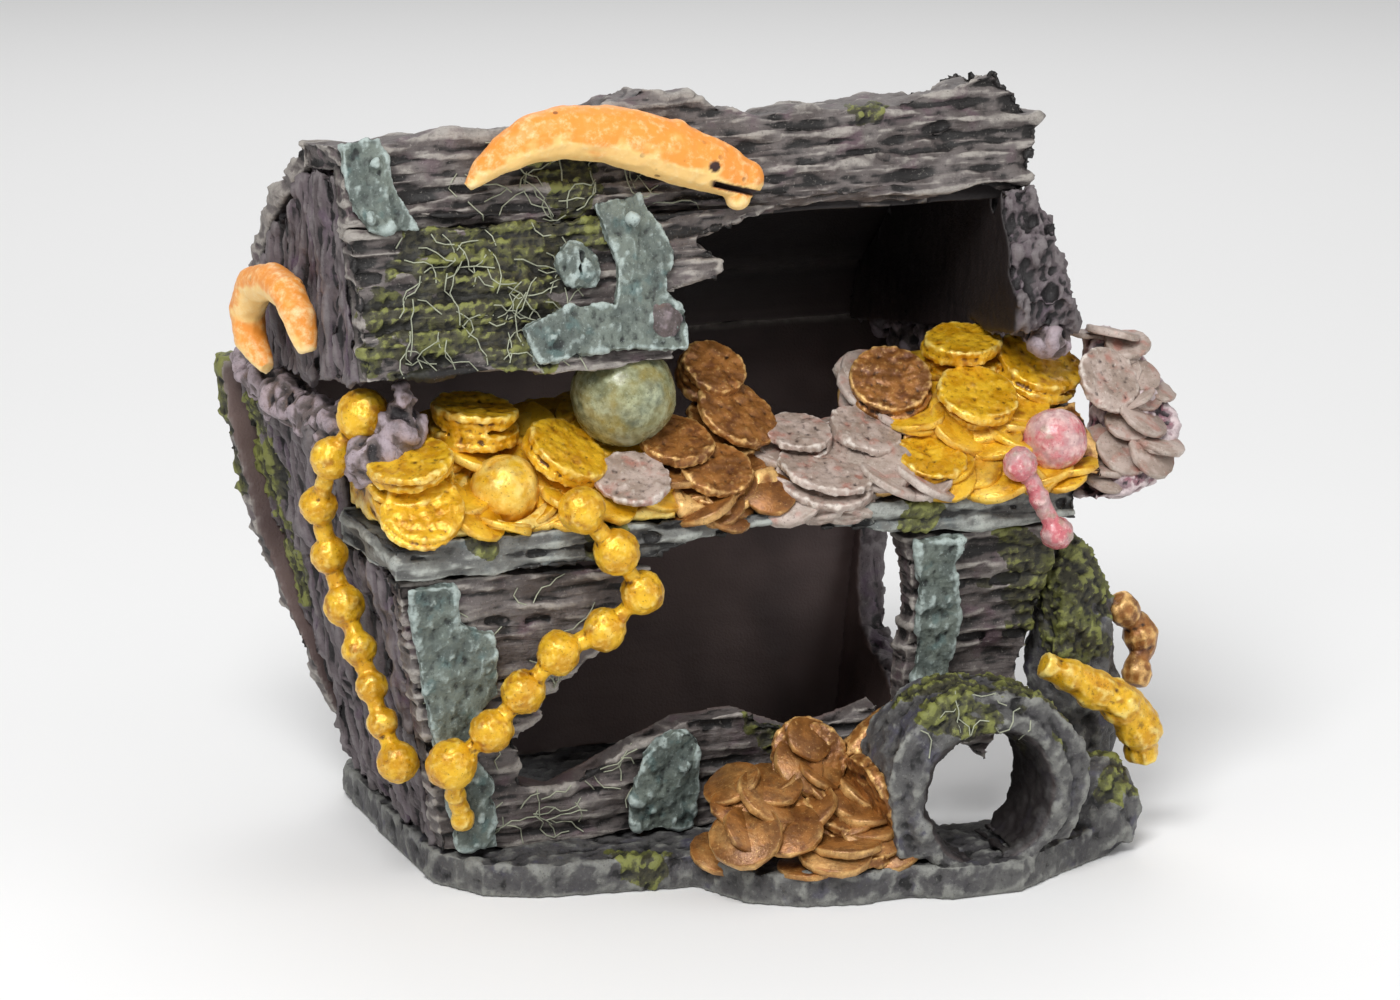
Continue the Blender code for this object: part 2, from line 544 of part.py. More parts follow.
def build_treasure(gold, copper, pale, green, pink, gem):
    """The coins, pearls, bead strings and gems, each in its place on the ledge or the base."""
    pearls = [
        pearl("pearl_green", (-18.7, -34, 89.8), 9.8, green, 22),
        pearl("pearl_gold", (-42.9, -38.5, 75.2), 6.6, gold, 18),
        pearl("pearl_pink", (62.7, -44, 77.0), 6.2, pink, 18),
    ]
    pink_beads = [(52.6, -50.8, 74.8, 3.0), (56.4, -51.2, 68.2, 1.9), (59.9, -51.5, 61.3, 2.9)]
    drop = bead_string("pink_bead_drop", pink_beads, pink)
    front = [
        (-33, -51.5, 73.6, 4.0), (-26.3, -51, 65.3, 4.0), (-21, -49.8, 57, 3.8), (-27.6, -48.2, 50.4, 3.7),
        (-35.9, -47, 46.6, 3.8), (-42.2, -45.5, 39.6, 3.8), (-47.8, -44.2, 32.6, 3.8),
        (-54.8, -42.5, 26.6, 4.4),
        (-53.3, -39.9, 20, 1.9), (-51.4, -38, 14.6, 2.1),
    ]  # fmt: skip
    side = [
        (-66.4, -30, 88.9, 4.6), (-71.6, -27, 81, 3.6), (-72.4, -21, 71, 3.3), (-70.2, -20, 61.4, 3.3),
        (-68.2, -22, 52.4, 3.6), (-66.4, -25, 44.8, 3.0), (-64.9, -27, 38, 2.8), (-63.5, -29, 31.6, 2.8),
        (-61.6, -32, 24.8, 3.6),
    ]  # fmt: skip
    strings = [bead_string("bead_string_front", front, gold), bead_string("bead_string_side", side, gold)]
    gem_sections = [(72, -44, 65.6, 4, 3), (77, -41, 67.5, 7.5, 6), (81, -36, 72, 8.6, 8),
                    (84, -33, 77, 8, 8),
                    (84, -30, 83, 7, 8), (82, -27, 88, 5.5, 6), (81, -26, 93, 3, 4)]  # fmt: skip
    gems = lumpy_column("gem_cluster", gem_sections, gem, 5.0, rough=0.3)
    coins = [
        coin_stack("coin_left_front", (-60.0, -44.6, 74.2), 7.4, 44, -8, gold),
        coin_stack("coin_left_middle", (-60.8, -39.5, 80.9), 7.8, 20, -10, gold, 2),
        coin_stack("coin_left_back", (-45.6, -29, 85.4), 8.0, 8, 4, gold, 3),
        coin_stack("coin_left_tilted", (-31.2, -37.5, 80.2), 8.0, 24, 22, gold, 2),
        coin_stack("coin_brown_top", (1.6, -25.5, 90.6), 6.4, 38, 6, copper, 2),
        coin_stack("coin_brown_middle", (3.4, -31.5, 83.2), 8.0, 34, 14, copper, 2),
        coin_stack("coin_brown_left", (-10, -36.5, 80.2), 6.8, 26, -6, copper, 2),
        coin_stack("coin_brown_low", (-3.6, -41, 75.2), 7.0, 30, -4, copper, 2),
        coin_stack("coin_pale_left", (-20.8, -42.6, 76.0), 6.8, 34, -6, pale),
        coin_stack("coin_pale_centre", (15.0, -34.5, 79.0), 6.6, 20, -4, pale, 2),
        coin_stack("coin_pale_right", (28.0, -35.0, 78.6), 7.0, 20, 8, pale, 2),
        coin_stack("coin_pale_front", (17.6, -41.8, 73.6), 9.2, 22, 2, pale, 2),
        coin_stack("coin_bronze_tilted", (35.8, -28.8, 86.6), 7.8, 42, -16, copper, 2),
        coin_stack("coin_gold_back", (53.0, -23.5, 91.2), 7.5, 14, -6, gold, 2),
        coin_stack("coin_gold_right", (66.4, -27.5, 87.0), 8.4, 26, 8, gold, 2),
        coin_stack("coin_gold_middle", (50.6, -35.0, 83.8), 7.8, 28, 8, gold, 2),
        coin_stack("coin_gold_low", (38.4, -43.0, 75.0), 6.6, 24, 4, gold),
        coin_stack("coin_pale_ring", (76.8, -36.5, 86.0), 6.4, 46, 14, pale),
    ]
    footing = [
        coin_stack("medal_copper", (11.9, -49.5, 22.6), 6.9, 66, -8, copper, 1, 3.0),
        coin_stack("copper_coin_left", (0.4, -55.5, 14.4), 8.0, 38, -6, copper, 2),
        coin_stack("copper_coin_middle", (15.6, -55, 13.2), 7.6, 30, 6, copper, 2),
        coin_stack("copper_coin_front", (15.2, -59.6, 8.8), 8.6, 10, 4, copper, 1),
        coin_stack("copper_coin_edge", (20.4, -57.0, 15.4), 9.2, 0, 72, copper, 1, 3.0),
    ]
    horn = [(17.5, -50, 20.5), (20.5, -50, 22.5), (24, -49.5, 25.4), (27.5, -49, 28.4), (31.6, -48.4, 32.2)]
    footing.append(tapered_rod("copper_horn", horn, [2.2, 3.4, 3.6, 2.8, 1.0], copper, 10))
    lumps = [(57.5, -54, 36.6, 2.8), (61.5, -54.5, 34.6, 3.4), (67, -54.5, 31.4, 4.0), (72.5, -54, 28, 4.4),
             (76.5, -53, 23, 4.6), (78.2, -51.5, 18, 3.6)]  # fmt: skip
    nuggets = bead_string("gold_nuggets", lumps, gold, 2.4)
    dark_lumps = [(79.8, -39.2, 42, 3.4), (84, -38.2, 36.2, 3.6), (82.4, -40.5, 29.6, 3.2)]
    dark = bead_string("dark_beads", dark_lumps, copper, 2.0)
    return pearls + [drop] + strings + coins + [gems] + footing + [nuggets, dark]


def build_hoard(rock):
    """The two cast banks that the ledge's coins are bedded in."""
    bottom = LEDGE_TOP + GAP
    section = [(-46, bottom), (-46, 71), (-38, 76), (-26, 83.5), (-18, 85), (-15, 80), (-15, bottom)]
    left = prism("hoard_left", section, "X", -65, -13, rock)
    high = [(y, z + (3 if z > 75 else 0)) for y, z in section]
    right = prism("hoard_right", high, "X", -13 + GAP, 72, rock)
    hollow = prism("hoard_dip", [(-60, 75.6), (-10, 75.6), (-10, 120), (-60, 120)], "X", -30, 31, rock)
    return [left, combine(right, hollow, "DIFFERENCE")]


def build_eel(skin_paint):
    """The eel: its head half on the lid's top edge, and its tail half arching out of the lid's left end."""
    body = [(-47.4, -33, 129.4), (-45, -33.5, 132), (-41, -34, 135), (-36, -34.2, 137.4), (-30, -34.2, 138.4),
            (-22.5, -34.4, 137.6), (-15, -34.8, 135.6), (-8.3, -35, 133.2), (-2.5, -35.2, 131),
            (2.6, -35, 128.6),
            (5.6, -34.6, 127.2)]  # fmt: skip
    head = tapered_rod("eel_head", body, [0.9, 2.2, 3.6, 4.5, 5.0, 5.3, 5.5, 5.6, 5.2, 4.0, 2.0], skin_paint)
    loop = [(-73.2, 8, 90.5), (-74.6, 13.5, 95), (-75.2, 14, 101), (-75, 8.5, 106.5), (-74.4, -1, 109),
            (-74.2, -10, 108.2), (-73.6, -15.5, 104.5), (-72.6, -17.5, 98.5)]  # fmt: skip
    tail = tapered_rod("eel_tail", loop, [1.6, 3.2, 3.6, 3.6, 3.4, 3.3, 3.0, 1.8], skin_paint)
    return [head, tail]


def build_air(plastic, rubber, stone):
    """The barbed pipe through the back wall, its rubber grommet, and the stone that lifts off it."""
    skin_radius = PIPE_OUTER - 0.4
    path = [(AIR_X, INLET_FACE + 15.5, AIR_Z), (AIR_X, AIR_Y + 6.5, AIR_Z)]
    for turn in (15, 35, 55, 75, 90):
        angle = math.radians(turn)
        path.append((AIR_X, AIR_Y + 5 * (1 - math.sin(angle)), AIR_Z + 5 * (1 - math.cos(angle))))
    path.append((AIR_X, AIR_Y, AIR_Z + 22))
    tube = pipe("air_pipe", path, [skin_radius] * len(path), PIPE_BORE, plastic)
    teeth = [(PIPE_BORE + 0.3, 0)]
    for i in range(3):
        teeth += [(skin_radius + 1.1, 0.3 + 3.2 * i), (skin_radius + 0.25, 3.2 + 3.2 * i)]
    teeth.append((PIPE_BORE + 0.3, 9.6))
    combine(tube, turned("air_barb", teeth, (AIR_X, INLET_FACE + 4.5, AIR_Z), plastic, "Y", 12), "UNION")
    hole = skin_radius + GAP
    groove = [(hole, -6.5), (3.9, -6.5), (3.9, GAP), (6.2, GAP), (6.2, 2.0), (hole, 2.0)]
    grommet = turned("inlet_grommet", groove, (AIR_X, INLET_FACE, AIR_Z), rubber, "Y", 16)
    profile = [
        (0, STONE_SEAT + GAP), (hole, STONE_SEAT + GAP), (hole, 0), (STONE_RADIUS - 0.8, 0),
        (STONE_RADIUS, 0.8),
        (STONE_RADIUS, STONE_LENGTH - 1.5), (STONE_RADIUS - 1.5, STONE_LENGTH), (0, STONE_LENGTH),
    ]  # fmt: skip
    porous = turned("air_stone", profile, (AIR_X, AIR_Y, AIR_Z + 22 - STONE_SEAT), stone, "Z", 18)
    return [tube, grommet, porous]


def main():
    """Builds the materials and every piece, then beds the treasure and rocks into what holds them."""
    clear_scene()
    wood = finish("weathered_wood", (0.16, 0.13, 0.14), 0.85)
    iron = finish("corroded_iron", (0.30, 0.38, 0.38), 0.7)
    rock = finish("sea_rock", (0.17, 0.17, 0.18), 0.9)
    gold = finish("gold_paint", (0.80, 0.55, 0.08), 0.35, 0.3)
    copper = finish("copper_paint", (0.48, 0.27, 0.08), 0.4, 0.3)
    pale = finish("pale_coin_paint", (0.60, 0.50, 0.46), 0.5)
    green = finish("green_pearl_paint", (0.28, 0.31, 0.20), 0.3)
    pink = finish("pink_pearl_paint", (0.66, 0.38, 0.42), 0.3)
    gem = finish("amethyst_paint", (0.36, 0.27, 0.31), 0.5)
    eel = finish("eel_paint", (0.87, 0.50, 0.16), 0.45)
    plastic = finish("air_fitting_plastic", (0.75, 0.77, 0.76), 0.35)
    rubber = finish("grommet_rubber", (0.03, 0.03, 0.03), 0.7)
    stone = finish("air_stone_grit", (0.16, 0.27, 0.50), 0.95)

    slab = build_base(rock)
    walls = build_box(wood)
    panels = build_lid(wood)
    ironwork = build_ironwork(iron)
    rocks = build_tunnel(rock)
    treasure = build_treasure(gold, copper, pale, green, pink, gem)
    hoard = build_hoard(rock)
    eels = build_eel(eel)
    build_air(plastic, rubber, stone)
    bed_in(eels + treasure + hoard + rocks, panels + ironwork + walls + [slab])


main()
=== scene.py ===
"""The looks of a cast treasure-chest ornament: weathered boards, corroded straps, moss, treasure, an eel and stone.

Each sub-assembly is a class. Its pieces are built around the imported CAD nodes, in metres in the same frame: +X
along the chest, -Y towards its front and +Z up. Sizes below are in millimetres, and MM turns them into metres.
"""

import json
import logging
import math
import random
from dataclasses import dataclass, field
from enum import Enum
from typing import Callable, Iterable, Optional, Sequence

import bmesh
import bpy
import numpy as np
from mathutils import Matrix, Vector
from mathutils.bvhtree import BVHTree


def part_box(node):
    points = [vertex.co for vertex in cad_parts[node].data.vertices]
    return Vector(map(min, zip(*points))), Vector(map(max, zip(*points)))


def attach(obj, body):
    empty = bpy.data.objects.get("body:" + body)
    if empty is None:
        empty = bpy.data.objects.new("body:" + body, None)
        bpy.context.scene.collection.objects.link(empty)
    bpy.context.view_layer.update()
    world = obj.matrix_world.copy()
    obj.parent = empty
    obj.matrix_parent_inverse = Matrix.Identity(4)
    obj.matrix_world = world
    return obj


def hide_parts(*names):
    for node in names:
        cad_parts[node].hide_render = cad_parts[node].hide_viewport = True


LOG = logging.getLogger("treasure_chest")
MM = 0.001
BODY = "chest"
STONE_BODY = "air_stone_body"

# The chest's driving sizes, in millimetres, as its CAD has them.
WALL_HEIGHT = 68.5
FOOT_DEPTH = 30.0
RIM_DEPTH = 47.0
END_WALL_LEAN = 12.4
TUNNEL_AXIS = (39.2, 17.8)

Triple = tuple[float, float, float]


def paint(red: int, green: int, blue: int) -> Triple:
    """A paint's colour.

    Args:
        red: Its red, from 0 to 255, as a paint chart gives it.
        green: Its green.
        blue: Its blue.

    Returns:
        The colour in the linear values that shaders take.
    """
    return tuple(((c / 255 + 0.055) / 1.055) ** 2.4 if c > 10 else c / 255 / 12.92 for c in (red, green, blue))


# ---------------------------------------------------------------- Bench tools


def clear_selection() -> None:
    """Leaves object mode with nothing selected."""
    if bpy.context.mode != "OBJECT":
        bpy.ops.object.mode_set(mode="OBJECT")
    bpy.ops.object.select_all(action="DESELECT")


def hold(*things: bpy.types.Object) -> bpy.types.Object:
    """Selects only these objects and makes the first one active.

    Args:
        *things: The objects that the next operator acts on.

    Returns:
        The first of them.
    """
    clear_selection()
    for thing in things:
        thing.select_set(True)
    bpy.context.view_layer.objects.active = things[0]
    return things[0]


def settle(piece: bpy.types.Object) -> bpy.types.Object:
    """Moves a piece's place, turn and scale into its mesh.

    Args:
        piece: The object to settle.

    Returns:
        The same object, at the origin.
    """
    hold(piece)
    bpy.ops.object.transform_apply(location=True, rotation=True, scale=True)
    return piece


def name_piece(name: str) -> bpy.types.Object:
    """Names the active object and its mesh.

    Args:
        name: The new name.

    Returns:
        The active object.
    """
    piece = bpy.context.view_layer.objects.active
    piece.name = name
    piece.data.name = name
    return piece


def apply_modifiers(piece: bpy.types.Object) -> bpy.types.Object:
    """Applies each modifier of a piece in turn.

    Args:
        piece: The object whose modifiers are applied.

    Returns:
        The same object.
    """
    hold(piece)
    for modifier in list(piece.modifiers):
        bpy.ops.object.modifier_apply(modifier=modifier.name)
    return piece


def join(pieces: Sequence[bpy.types.Object], name: str) -> bpy.types.Object:
    """Joins pieces into one object.

    Args:
        pieces: The objects to join.
        name: The name of the result.

    Returns:
        The joined object.
    """
    hold(*pieces)
    if len(pieces) > 1:
        bpy.ops.object.join()
    return name_piece(name)


def cast_of(node: str, name: str) -> bpy.types.Object:
    """A closed copy of a CAD node, ready to be worked.

    Args:
        node: The CAD node's name.
        name: The copy's name.

    Returns:
        The copy, with its loose triangles merged.
    """
    mesh = FRAME["nodes"][node].data.copy()
    mesh.materials.clear()
    piece = hold(link(name, mesh))
    bpy.ops.object.mode_set(mode="EDIT")
    bpy.ops.mesh.select_all(action="SELECT")
    bpy.ops.mesh.remove_doubles(threshold=2e-6)
    bpy.ops.mesh.dissolve_limited(angle_limit=math.radians(1.0))
    bpy.ops.object.mode_set(mode="OBJECT")
    return piece


def cut(piece: bpy.types.Object, tool: bpy.types.Object) -> bpy.types.Object:
    """Cuts a tool out of a piece and throws the tool away.

    Args:
        piece: The piece to shape.
        tool: The closed shape that shapes it.

    Returns:
        The shaped piece.
    """
    modifier = piece.modifiers.new("Shape", "BOOLEAN")
    modifier.operation = "DIFFERENCE"
    modifier.object = tool
    modifier.solver = "EXACT"
    apply_modifiers(piece)
    bpy.data.objects.remove(tool)
    return piece


def remesh(piece: bpy.types.Object, voxel: float) -> bpy.types.Object:
    """Makes an even skin of small faces over a closed piece.

    Args:
        piece: The piece.
        voxel: The size of a face, in millimetres.

    Returns:
        The same piece.
    """
    modifier = piece.modifiers.new("Skin", "REMESH")
    modifier.mode = "VOXEL"
    modifier.voxel_size = voxel * MM
    modifier.use_smooth_shade = True
    return apply_modifiers(piece)


def positions(piece: bpy.types.Object) -> np.ndarray:
    """Reads where the piece's vertices are.

    Args:
        piece: The piece.

    Returns:
        Their places, in metres, one row each.
    """
    values = np.empty(len(piece.data.vertices) * 3, np.float32)
    piece.data.vertices.foreach_get("co", values)
    return values.reshape(-1, 3).astype(np.float64)


def normals(piece: bpy.types.Object) -> np.ndarray:
    """Reads which way the piece's vertices face.

    Args:
        piece: The piece.

    Returns:
        Their normals, one row each.
    """
    values = np.empty(len(piece.data.vertices) * 3, np.float32)
    piece.data.vertex_normals.foreach_get("vector", values)
    return values.reshape(-1, 3).astype(np.float64)


def move_points(piece: bpy.types.Object, places: np.ndarray) -> None:
    """Puts the piece's vertices at new places.

    Args:
        piece: The piece.
        places: The new places, in metres, one row each.
    """
    piece.data.vertices.foreach_set("co", places.astype(np.float32).ravel())
    piece.data.update()


def write_mask(piece: bpy.types.Object, name: str, values: np.ndarray) -> None:
    """Stores one number for each vertex, for materials as an attribute and for modifiers as a vertex group.

    Args:
        piece: The piece.
        name: The mask's name.
        values: One value for each vertex.
    """
    mask = piece.data.attributes.get(name) or piece.data.attributes.new(name, "FLOAT", "POINT")
    mask.data.foreach_set("value", values.astype(np.float32))
    if piece.vertex_groups.get(name):
        piece.vertex_groups.remove(piece.vertex_groups[name])
    group = piece.vertex_groups.new(name=name)
    steps = np.clip(np.round(values * 16), 0, 16).astype(int)
    for step in range(1, 17):
        members = np.nonzero(steps == step)[0].tolist()
        if members:
            group.add(members, step / 16, "REPLACE")


def mean_of_neighbours(values: np.ndarray, ends: np.ndarray, count: np.ndarray) -> np.ndarray:
    """Each row's mean with those that its edges lead to.

    Args:
        values: One row for each vertex.
        ends: The two vertices of each edge.
        count: One more than the number of edges at each vertex.

    Returns:
        The means, one row for each vertex.
    """
    total = values.copy()
    for column in range(values.shape[1]):
        for near, far in ((0, 1), (1, 0)):
            total[:, column] += np.bincount(ends[:, near], values[ends[:, far], column], len(values))
    return total / count[:, None]


def write_relief(piece: bpy.types.Object, reach: int = 9, strength: float = 1.0) -> bpy.types.Object:
    """Stores how far each vertex stands above its surroundings, in millimetres, as the attribute relief.

    Ridges and edges come out above 0 and grooves below it, which is where a caster's dry brush with its painted
    highlight and dark wash with its painted shade go.

    Args:
        piece: The piece.
        reach: How many rounds of averaging make the surroundings.
        strength: What the heights are multiplied by, below 1 on a coarse mesh, whose every edge stands high.

    Returns:
        The same piece.
    """
    mesh = piece.data
    ends = np.empty(len(mesh.edges) * 2, np.int32)
    mesh.edges.foreach_get("vertices", ends)
    ends = ends.reshape(-1, 2)
    count = 1.0 + np.bincount(ends.ravel(), minlength=len(mesh.vertices))
    start = positions(piece)
    around = start
    for _ in range(reach):
        around = mean_of_neighbours(around, ends, count)
    height = ((start - around) * normals(piece)).sum(axis=1) / MM * strength
    relief = mesh.attributes.get("relief") or mesh.attributes.new("relief", "FLOAT", "POINT")
    relief.data.foreach_set("value", height.astype(np.float32))
    return piece


def link(name: str, data: Optional[bpy.types.ID]) -> bpy.types.Object:
    """Puts new data into the scene.

    Args:
        name: The object's name.
        data: The mesh, curve, light or camera that it shows, or None for an empty.

    Returns:
        The new object.
    """
    thing = bpy.data.objects.new(name, data)
    bpy.context.scene.collection.objects.link(thing)
    return thing


def ball(place: Sequence[float], radius: float, segments: int, rings: int) -> bpy.types.Object:
    """Adds a round ball.

    Args:
        place: Its middle, in millimetres.
        radius: Its radius, in millimetres.
        segments: Its faces around.
        rings: Its faces from pole to pole.

    Returns:
        The ball.
    """
    clear_selection()
    bpy.ops.mesh.primitive_uv_sphere_add(
        segments=segments, ring_count=rings, radius=radius * MM, location=Vector(place) * MM
    )
    return settle(bpy.context.object)


def surface(mesh: bpy.types.Mesh) -> BVHTree:
    """A mesh's surface, for rays to be cast at."""
    return BVHTree.FromPolygons([v.co for v in mesh.vertices], [p.vertices for p in mesh.polygons])


class Pattern(Enum):
    """The kinds of noise that carve a surface."""

    CLOUDS = "CLOUDS"
    CELLS = "VORONOI"
    LUMPS = "STUCCI"


@dataclass(frozen=True)
class Carving:
    """One layer of carving: a noise that moves a surface in and out.

    Attributes:
        size: The size of its features along X, Y and Z, in millimetres.
        height: How far it moves the surface from its lowest to its highest, in millimetres.
        pattern: The kind of noise.
        middle: The noise value that stays put: 1 only cuts in, and 0 only builds out.
        mask: A vertex group that limits it.
        shift: Moves the noise along, so that two layers differ.
        contrast: How sharply it turns from low to high.
        brightness: Above 1, more of it is high, so that only cracks stay low.
    """

    size: Triple
    height: float
    pattern: Pattern = Pattern.CLOUDS
    middle: float = 0.5
    mask: str = ""
    shift: float = 0.0
    contrast: float = 1.0
    brightness: float = 1.0

    def cut_into(self, piece: bpy.types.Object) -> None:
        """Carves the layer into a piece and applies it.

        Args:
            piece: The piece.
        """
        texture = bpy.data.textures.new("carving", self.pattern.value)
        texture.noise_scale = 1.0
        texture.contrast = self.contrast
        texture.intensity = self.brightness
        if self.pattern is Pattern.CLOUDS:
            texture.noise_depth = 3
        guide = link("guide", None)
        guide.scale = Vector(self.size) * MM
        guide.location = Vector((self.shift, self.shift * 0.7, self.shift * 1.3))
        modifier = piece.modifiers.new("Carve", "DISPLACE")
        modifier.texture = texture
        modifier.texture_coords = "OBJECT"
        modifier.texture_coords_object = guide
        modifier.strength = self.height * MM
        modifier.mid_level = self.middle
        modifier.vertex_group = self.mask
        apply_modifiers(piece)
        bpy.data.objects.remove(guide)
        bpy.data.textures.remove(texture)


def carve(piece: bpy.types.Object, layers: Iterable[Carving]) -> bpy.types.Object:
    """Carves layers into a piece, one after another.

    Args:
        piece: The piece.
        layers: The layers, coarse to fine.

    Returns:
        The same piece.
    """
    for layer in layers:
        layer.cut_into(piece)
    return piece


def smooth_step(values: np.ndarray, low: float, high: float) -> np.ndarray:
    """A soft step.

    Args:
        values: The values to step.
        low: Where the step starts.
        high: Where it ends.

    Returns:
        For each value 0 below low, 1 above high, and a smooth rise between.
    """
    share = np.clip((values - low) / (high - low), 0, 1)
    return share * share * (3 - 2 * share)


def ripple(places: np.ndarray, size: float, seed: float = 0.0) -> np.ndarray:
    """A smooth uneven field.

    Args:
        places: Where it is read, in metres, one row each.
        size: The size of its features, in millimetres.
        seed: Moves the field along.

    Returns:
        One value for each place, between about -1 and 1.
    """
    p = places / (size * MM) + seed
    x, y, z = p[:, 0], p[:, 1], p[:, 2]
    return (
        np.sin(x * 1.3 + 2.1 * np.sin(y * 0.9 + z * 0.4))
        + np.sin(y * 1.7 + 1.8 * np.sin(z * 1.1 + x * 0.6))
        + np.sin(z * 1.5 + 2.3 * np.sin(x * 0.7 + y * 0.5))
    ) / 3


def patch_mask(piece: bpy.types.Object, patches: Sequence[tuple[Triple, float]]) -> np.ndarray:
    """Where round patches with ragged edges lie on a piece.

    Args:
        piece: The piece.
        patches: The centre and radius of each patch, in millimetres.

    Returns:
        One value for each vertex, 1 inside a patch and 0 outside.
    """
    places = positions(piece)
    mask = np.zeros(len(places))
    for centre, radius in patches:
        away = np.linalg.norm(places - np.array(centre) * MM, axis=1) / (radius * MM)
        ragged = away + 0.45 * ripple(places, 3.2, radius) + 0.3 * ripple(places, 1.4, radius)
        mask = np.maximum(mask, 1 - smooth_step(ragged, 0.75, 1.1))
    return mask


def mount(piece: bpy.types.Object, *nodes: str, slot: str = "", body: str = BODY) -> bpy.types.Object:
    """Puts a finished piece on its body, in place of CAD nodes.

    Args:
        piece: The finished piece.
        *nodes: The CAD nodes that it stands for.
        slot: The material slot that it belongs to; not used.
        body: The body that it moves with.

    Returns:
        The same piece, with nothing of it below the floor.
    """
    places = positions(piece)
    if places[:, 2].min() < 0:
        places[:, 2] = np.maximum(places[:, 2], 0)
        move_points(piece, places)
    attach(piece, body)
    if nodes:
        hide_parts(*nodes)
    LOG.info("%s: %d faces", piece.name, len(piece.data.polygons))
    return piece


# ---------------------------------------------------------------- Shader tools


class Signal:
    """A shader socket's value. Python's operators on it add Math nodes to its material."""

    def __init__(self, finish: "Recipe", socket: bpy.types.NodeSocket) -> None:
        """Wraps an output socket of a finish's node tree."""
        self.finish = finish
        self.socket = socket

    def _maths(self, operation: str, *values: "Signal | float") -> "Signal":
        """A Math node of one operation on these values."""
        return self.finish.node("ShaderNodeMath", {"operation": operation}, values)

    def __add__(self, other: "Signal | float") -> "Signal":
        """Their sum."""
        return self._maths("ADD", self, other)

    __radd__ = __add__

    def __sub__(self, other: "Signal | float") -> "Signal":
        """This less the other."""
        return self._maths("SUBTRACT", self, other)

    def __rsub__(self, other: "Signal | float") -> "Signal":
        """The other less this."""
        return self._maths("SUBTRACT", other, self)

    def __mul__(self, other: "Signal | float") -> "Signal":
        """Their product."""
        return self._maths("MULTIPLY", self, other)

    __rmul__ = __mul__

    def step(self, low: float, high: float) -> "Signal":
        """A soft step.

        Args:
            low: Where it starts. When this is above high, the step runs the other way.
            high: Where it ends.

        Returns:
            0 at low, 1 at high and a smooth change between.
        """
        return self.finish.node(
            "ShaderNodeMapRange", {"interpolation_type": "SMOOTHSTEP", "clamp": True}, {0: self, 1: low, 2: high}
        )


class Recipe:
    """A material under construction."""

    def __init__(self, name: str) -> None:
        """Starts a material with its Principled shader.

        Args:
            name: The material's name.
        """
        self.material = bpy.data.materials.new(name)
        self.material.use_nodes = True
        self.tree = self.material.node_tree
        self.shader = self.tree.nodes["Principled BSDF"]
        self.places = self.node("ShaderNodeTexCoord", {}, {}, "Object")

    def node(self, kind: str, settings: dict, values: object, output: "str | int" = 0) -> Signal:
        """Adds any node.

        Args:
            kind: The node's type.
            settings: Its settings, set first.
            values: Its sockets' values or signals, in order or by name or index.
            output: The output that is wanted.

        Returns:
            That output.
        """
        node = self.tree.nodes.new(kind)
        for key, value in settings.items():
            setattr(node, key, value)
        pairs = values.items() if isinstance(values, dict) else enumerate(values)
        for key, value in pairs:
            if isinstance(value, Signal):
                self.tree.links.new(value.socket, node.inputs[key])
            else:
                node.inputs[key].default_value = value
        return Signal(self, node.outputs[output])

    def noise(self, size: "float | Triple", detail: float = 3.0, roughness: float = 0.6) -> Signal:
        """A noise between 0 and 1.

        Args:
            size: The size of its features in millimetres, or its size along each axis.
            detail: How many finer layers it has.
            roughness: How strong they are.

        Returns:
            Its value.
        """
        sizes = size if isinstance(size, tuple) else (size, size, size)
        spread = self.node("ShaderNodeMapping", {}, {0: self.places, 3: tuple(1 / (s * MM) for s in sizes)})
        values = {"Vector": spread, "Scale": 1.0, "Detail": detail, "Roughness": roughness}
        return self.node("ShaderNodeTexNoise", {}, values)

    def cells(self, size: float) -> Signal:
        """The distance to the nearest of scattered points about a size apart, in millimetres, from 0 at each point."""
        spread = self.node("ShaderNodeMapping", {}, {0: self.places, 3: (1 / (size * MM),) * 3})
        return self.node("ShaderNodeTexVoronoi", {}, {"Vector": spread, "Scale": 1.0}, "Distance")

    def mask(self, name: str) -> Signal:
        """A value that the piece stores at its vertices."""
        return self.node("ShaderNodeAttribute", {"attribute_name": name}, {}, "Fac")

    def mix(self, share: "Signal | float", first: "Signal | Triple", second: "Signal | Triple") -> Signal:
        """A colour between two.

        Args:
            share: The share of the second.
            first: The first colour.
            second: The second colour.

        Returns:
            The mixed colour.
        """
        values = {0: share}
        for key, colour in ((6, first), (7, second)):
            values[key] = colour if isinstance(colour, Signal) else (*colour, 1.0)
        return self.node("ShaderNodeMix", {"data_type": "RGBA"}, values, 2)

    def bump(self, height: Signal, distance: float) -> None:
        """Adds bumps to the shader, distance millimetres deep."""
        normal = self.node("ShaderNodeBump", {}, {"Strength": 1.0, "Distance": distance * MM, "Height": height})
        self.tree.links.new(normal.socket, self.shader.inputs["Normal"])

    def finish(self, colour: Signal, roughness: "Signal | float", metallic: float = 0.0) -> bpy.types.Material:
        """Feeds the shader.

        Args:
            colour: Its base colour.
            roughness: Its roughness.
            metallic: How metallic it is.

        Returns:
            The finished material.
        """
        for name, value in (("Base Color", colour), ("Roughness", roughness), ("Metallic", metallic)):
            if isinstance(value, Signal):
                self.tree.links.new(value.socket, self.shader.inputs[name])
            else:
                self.shader.inputs[name].default_value = value
        return self.material


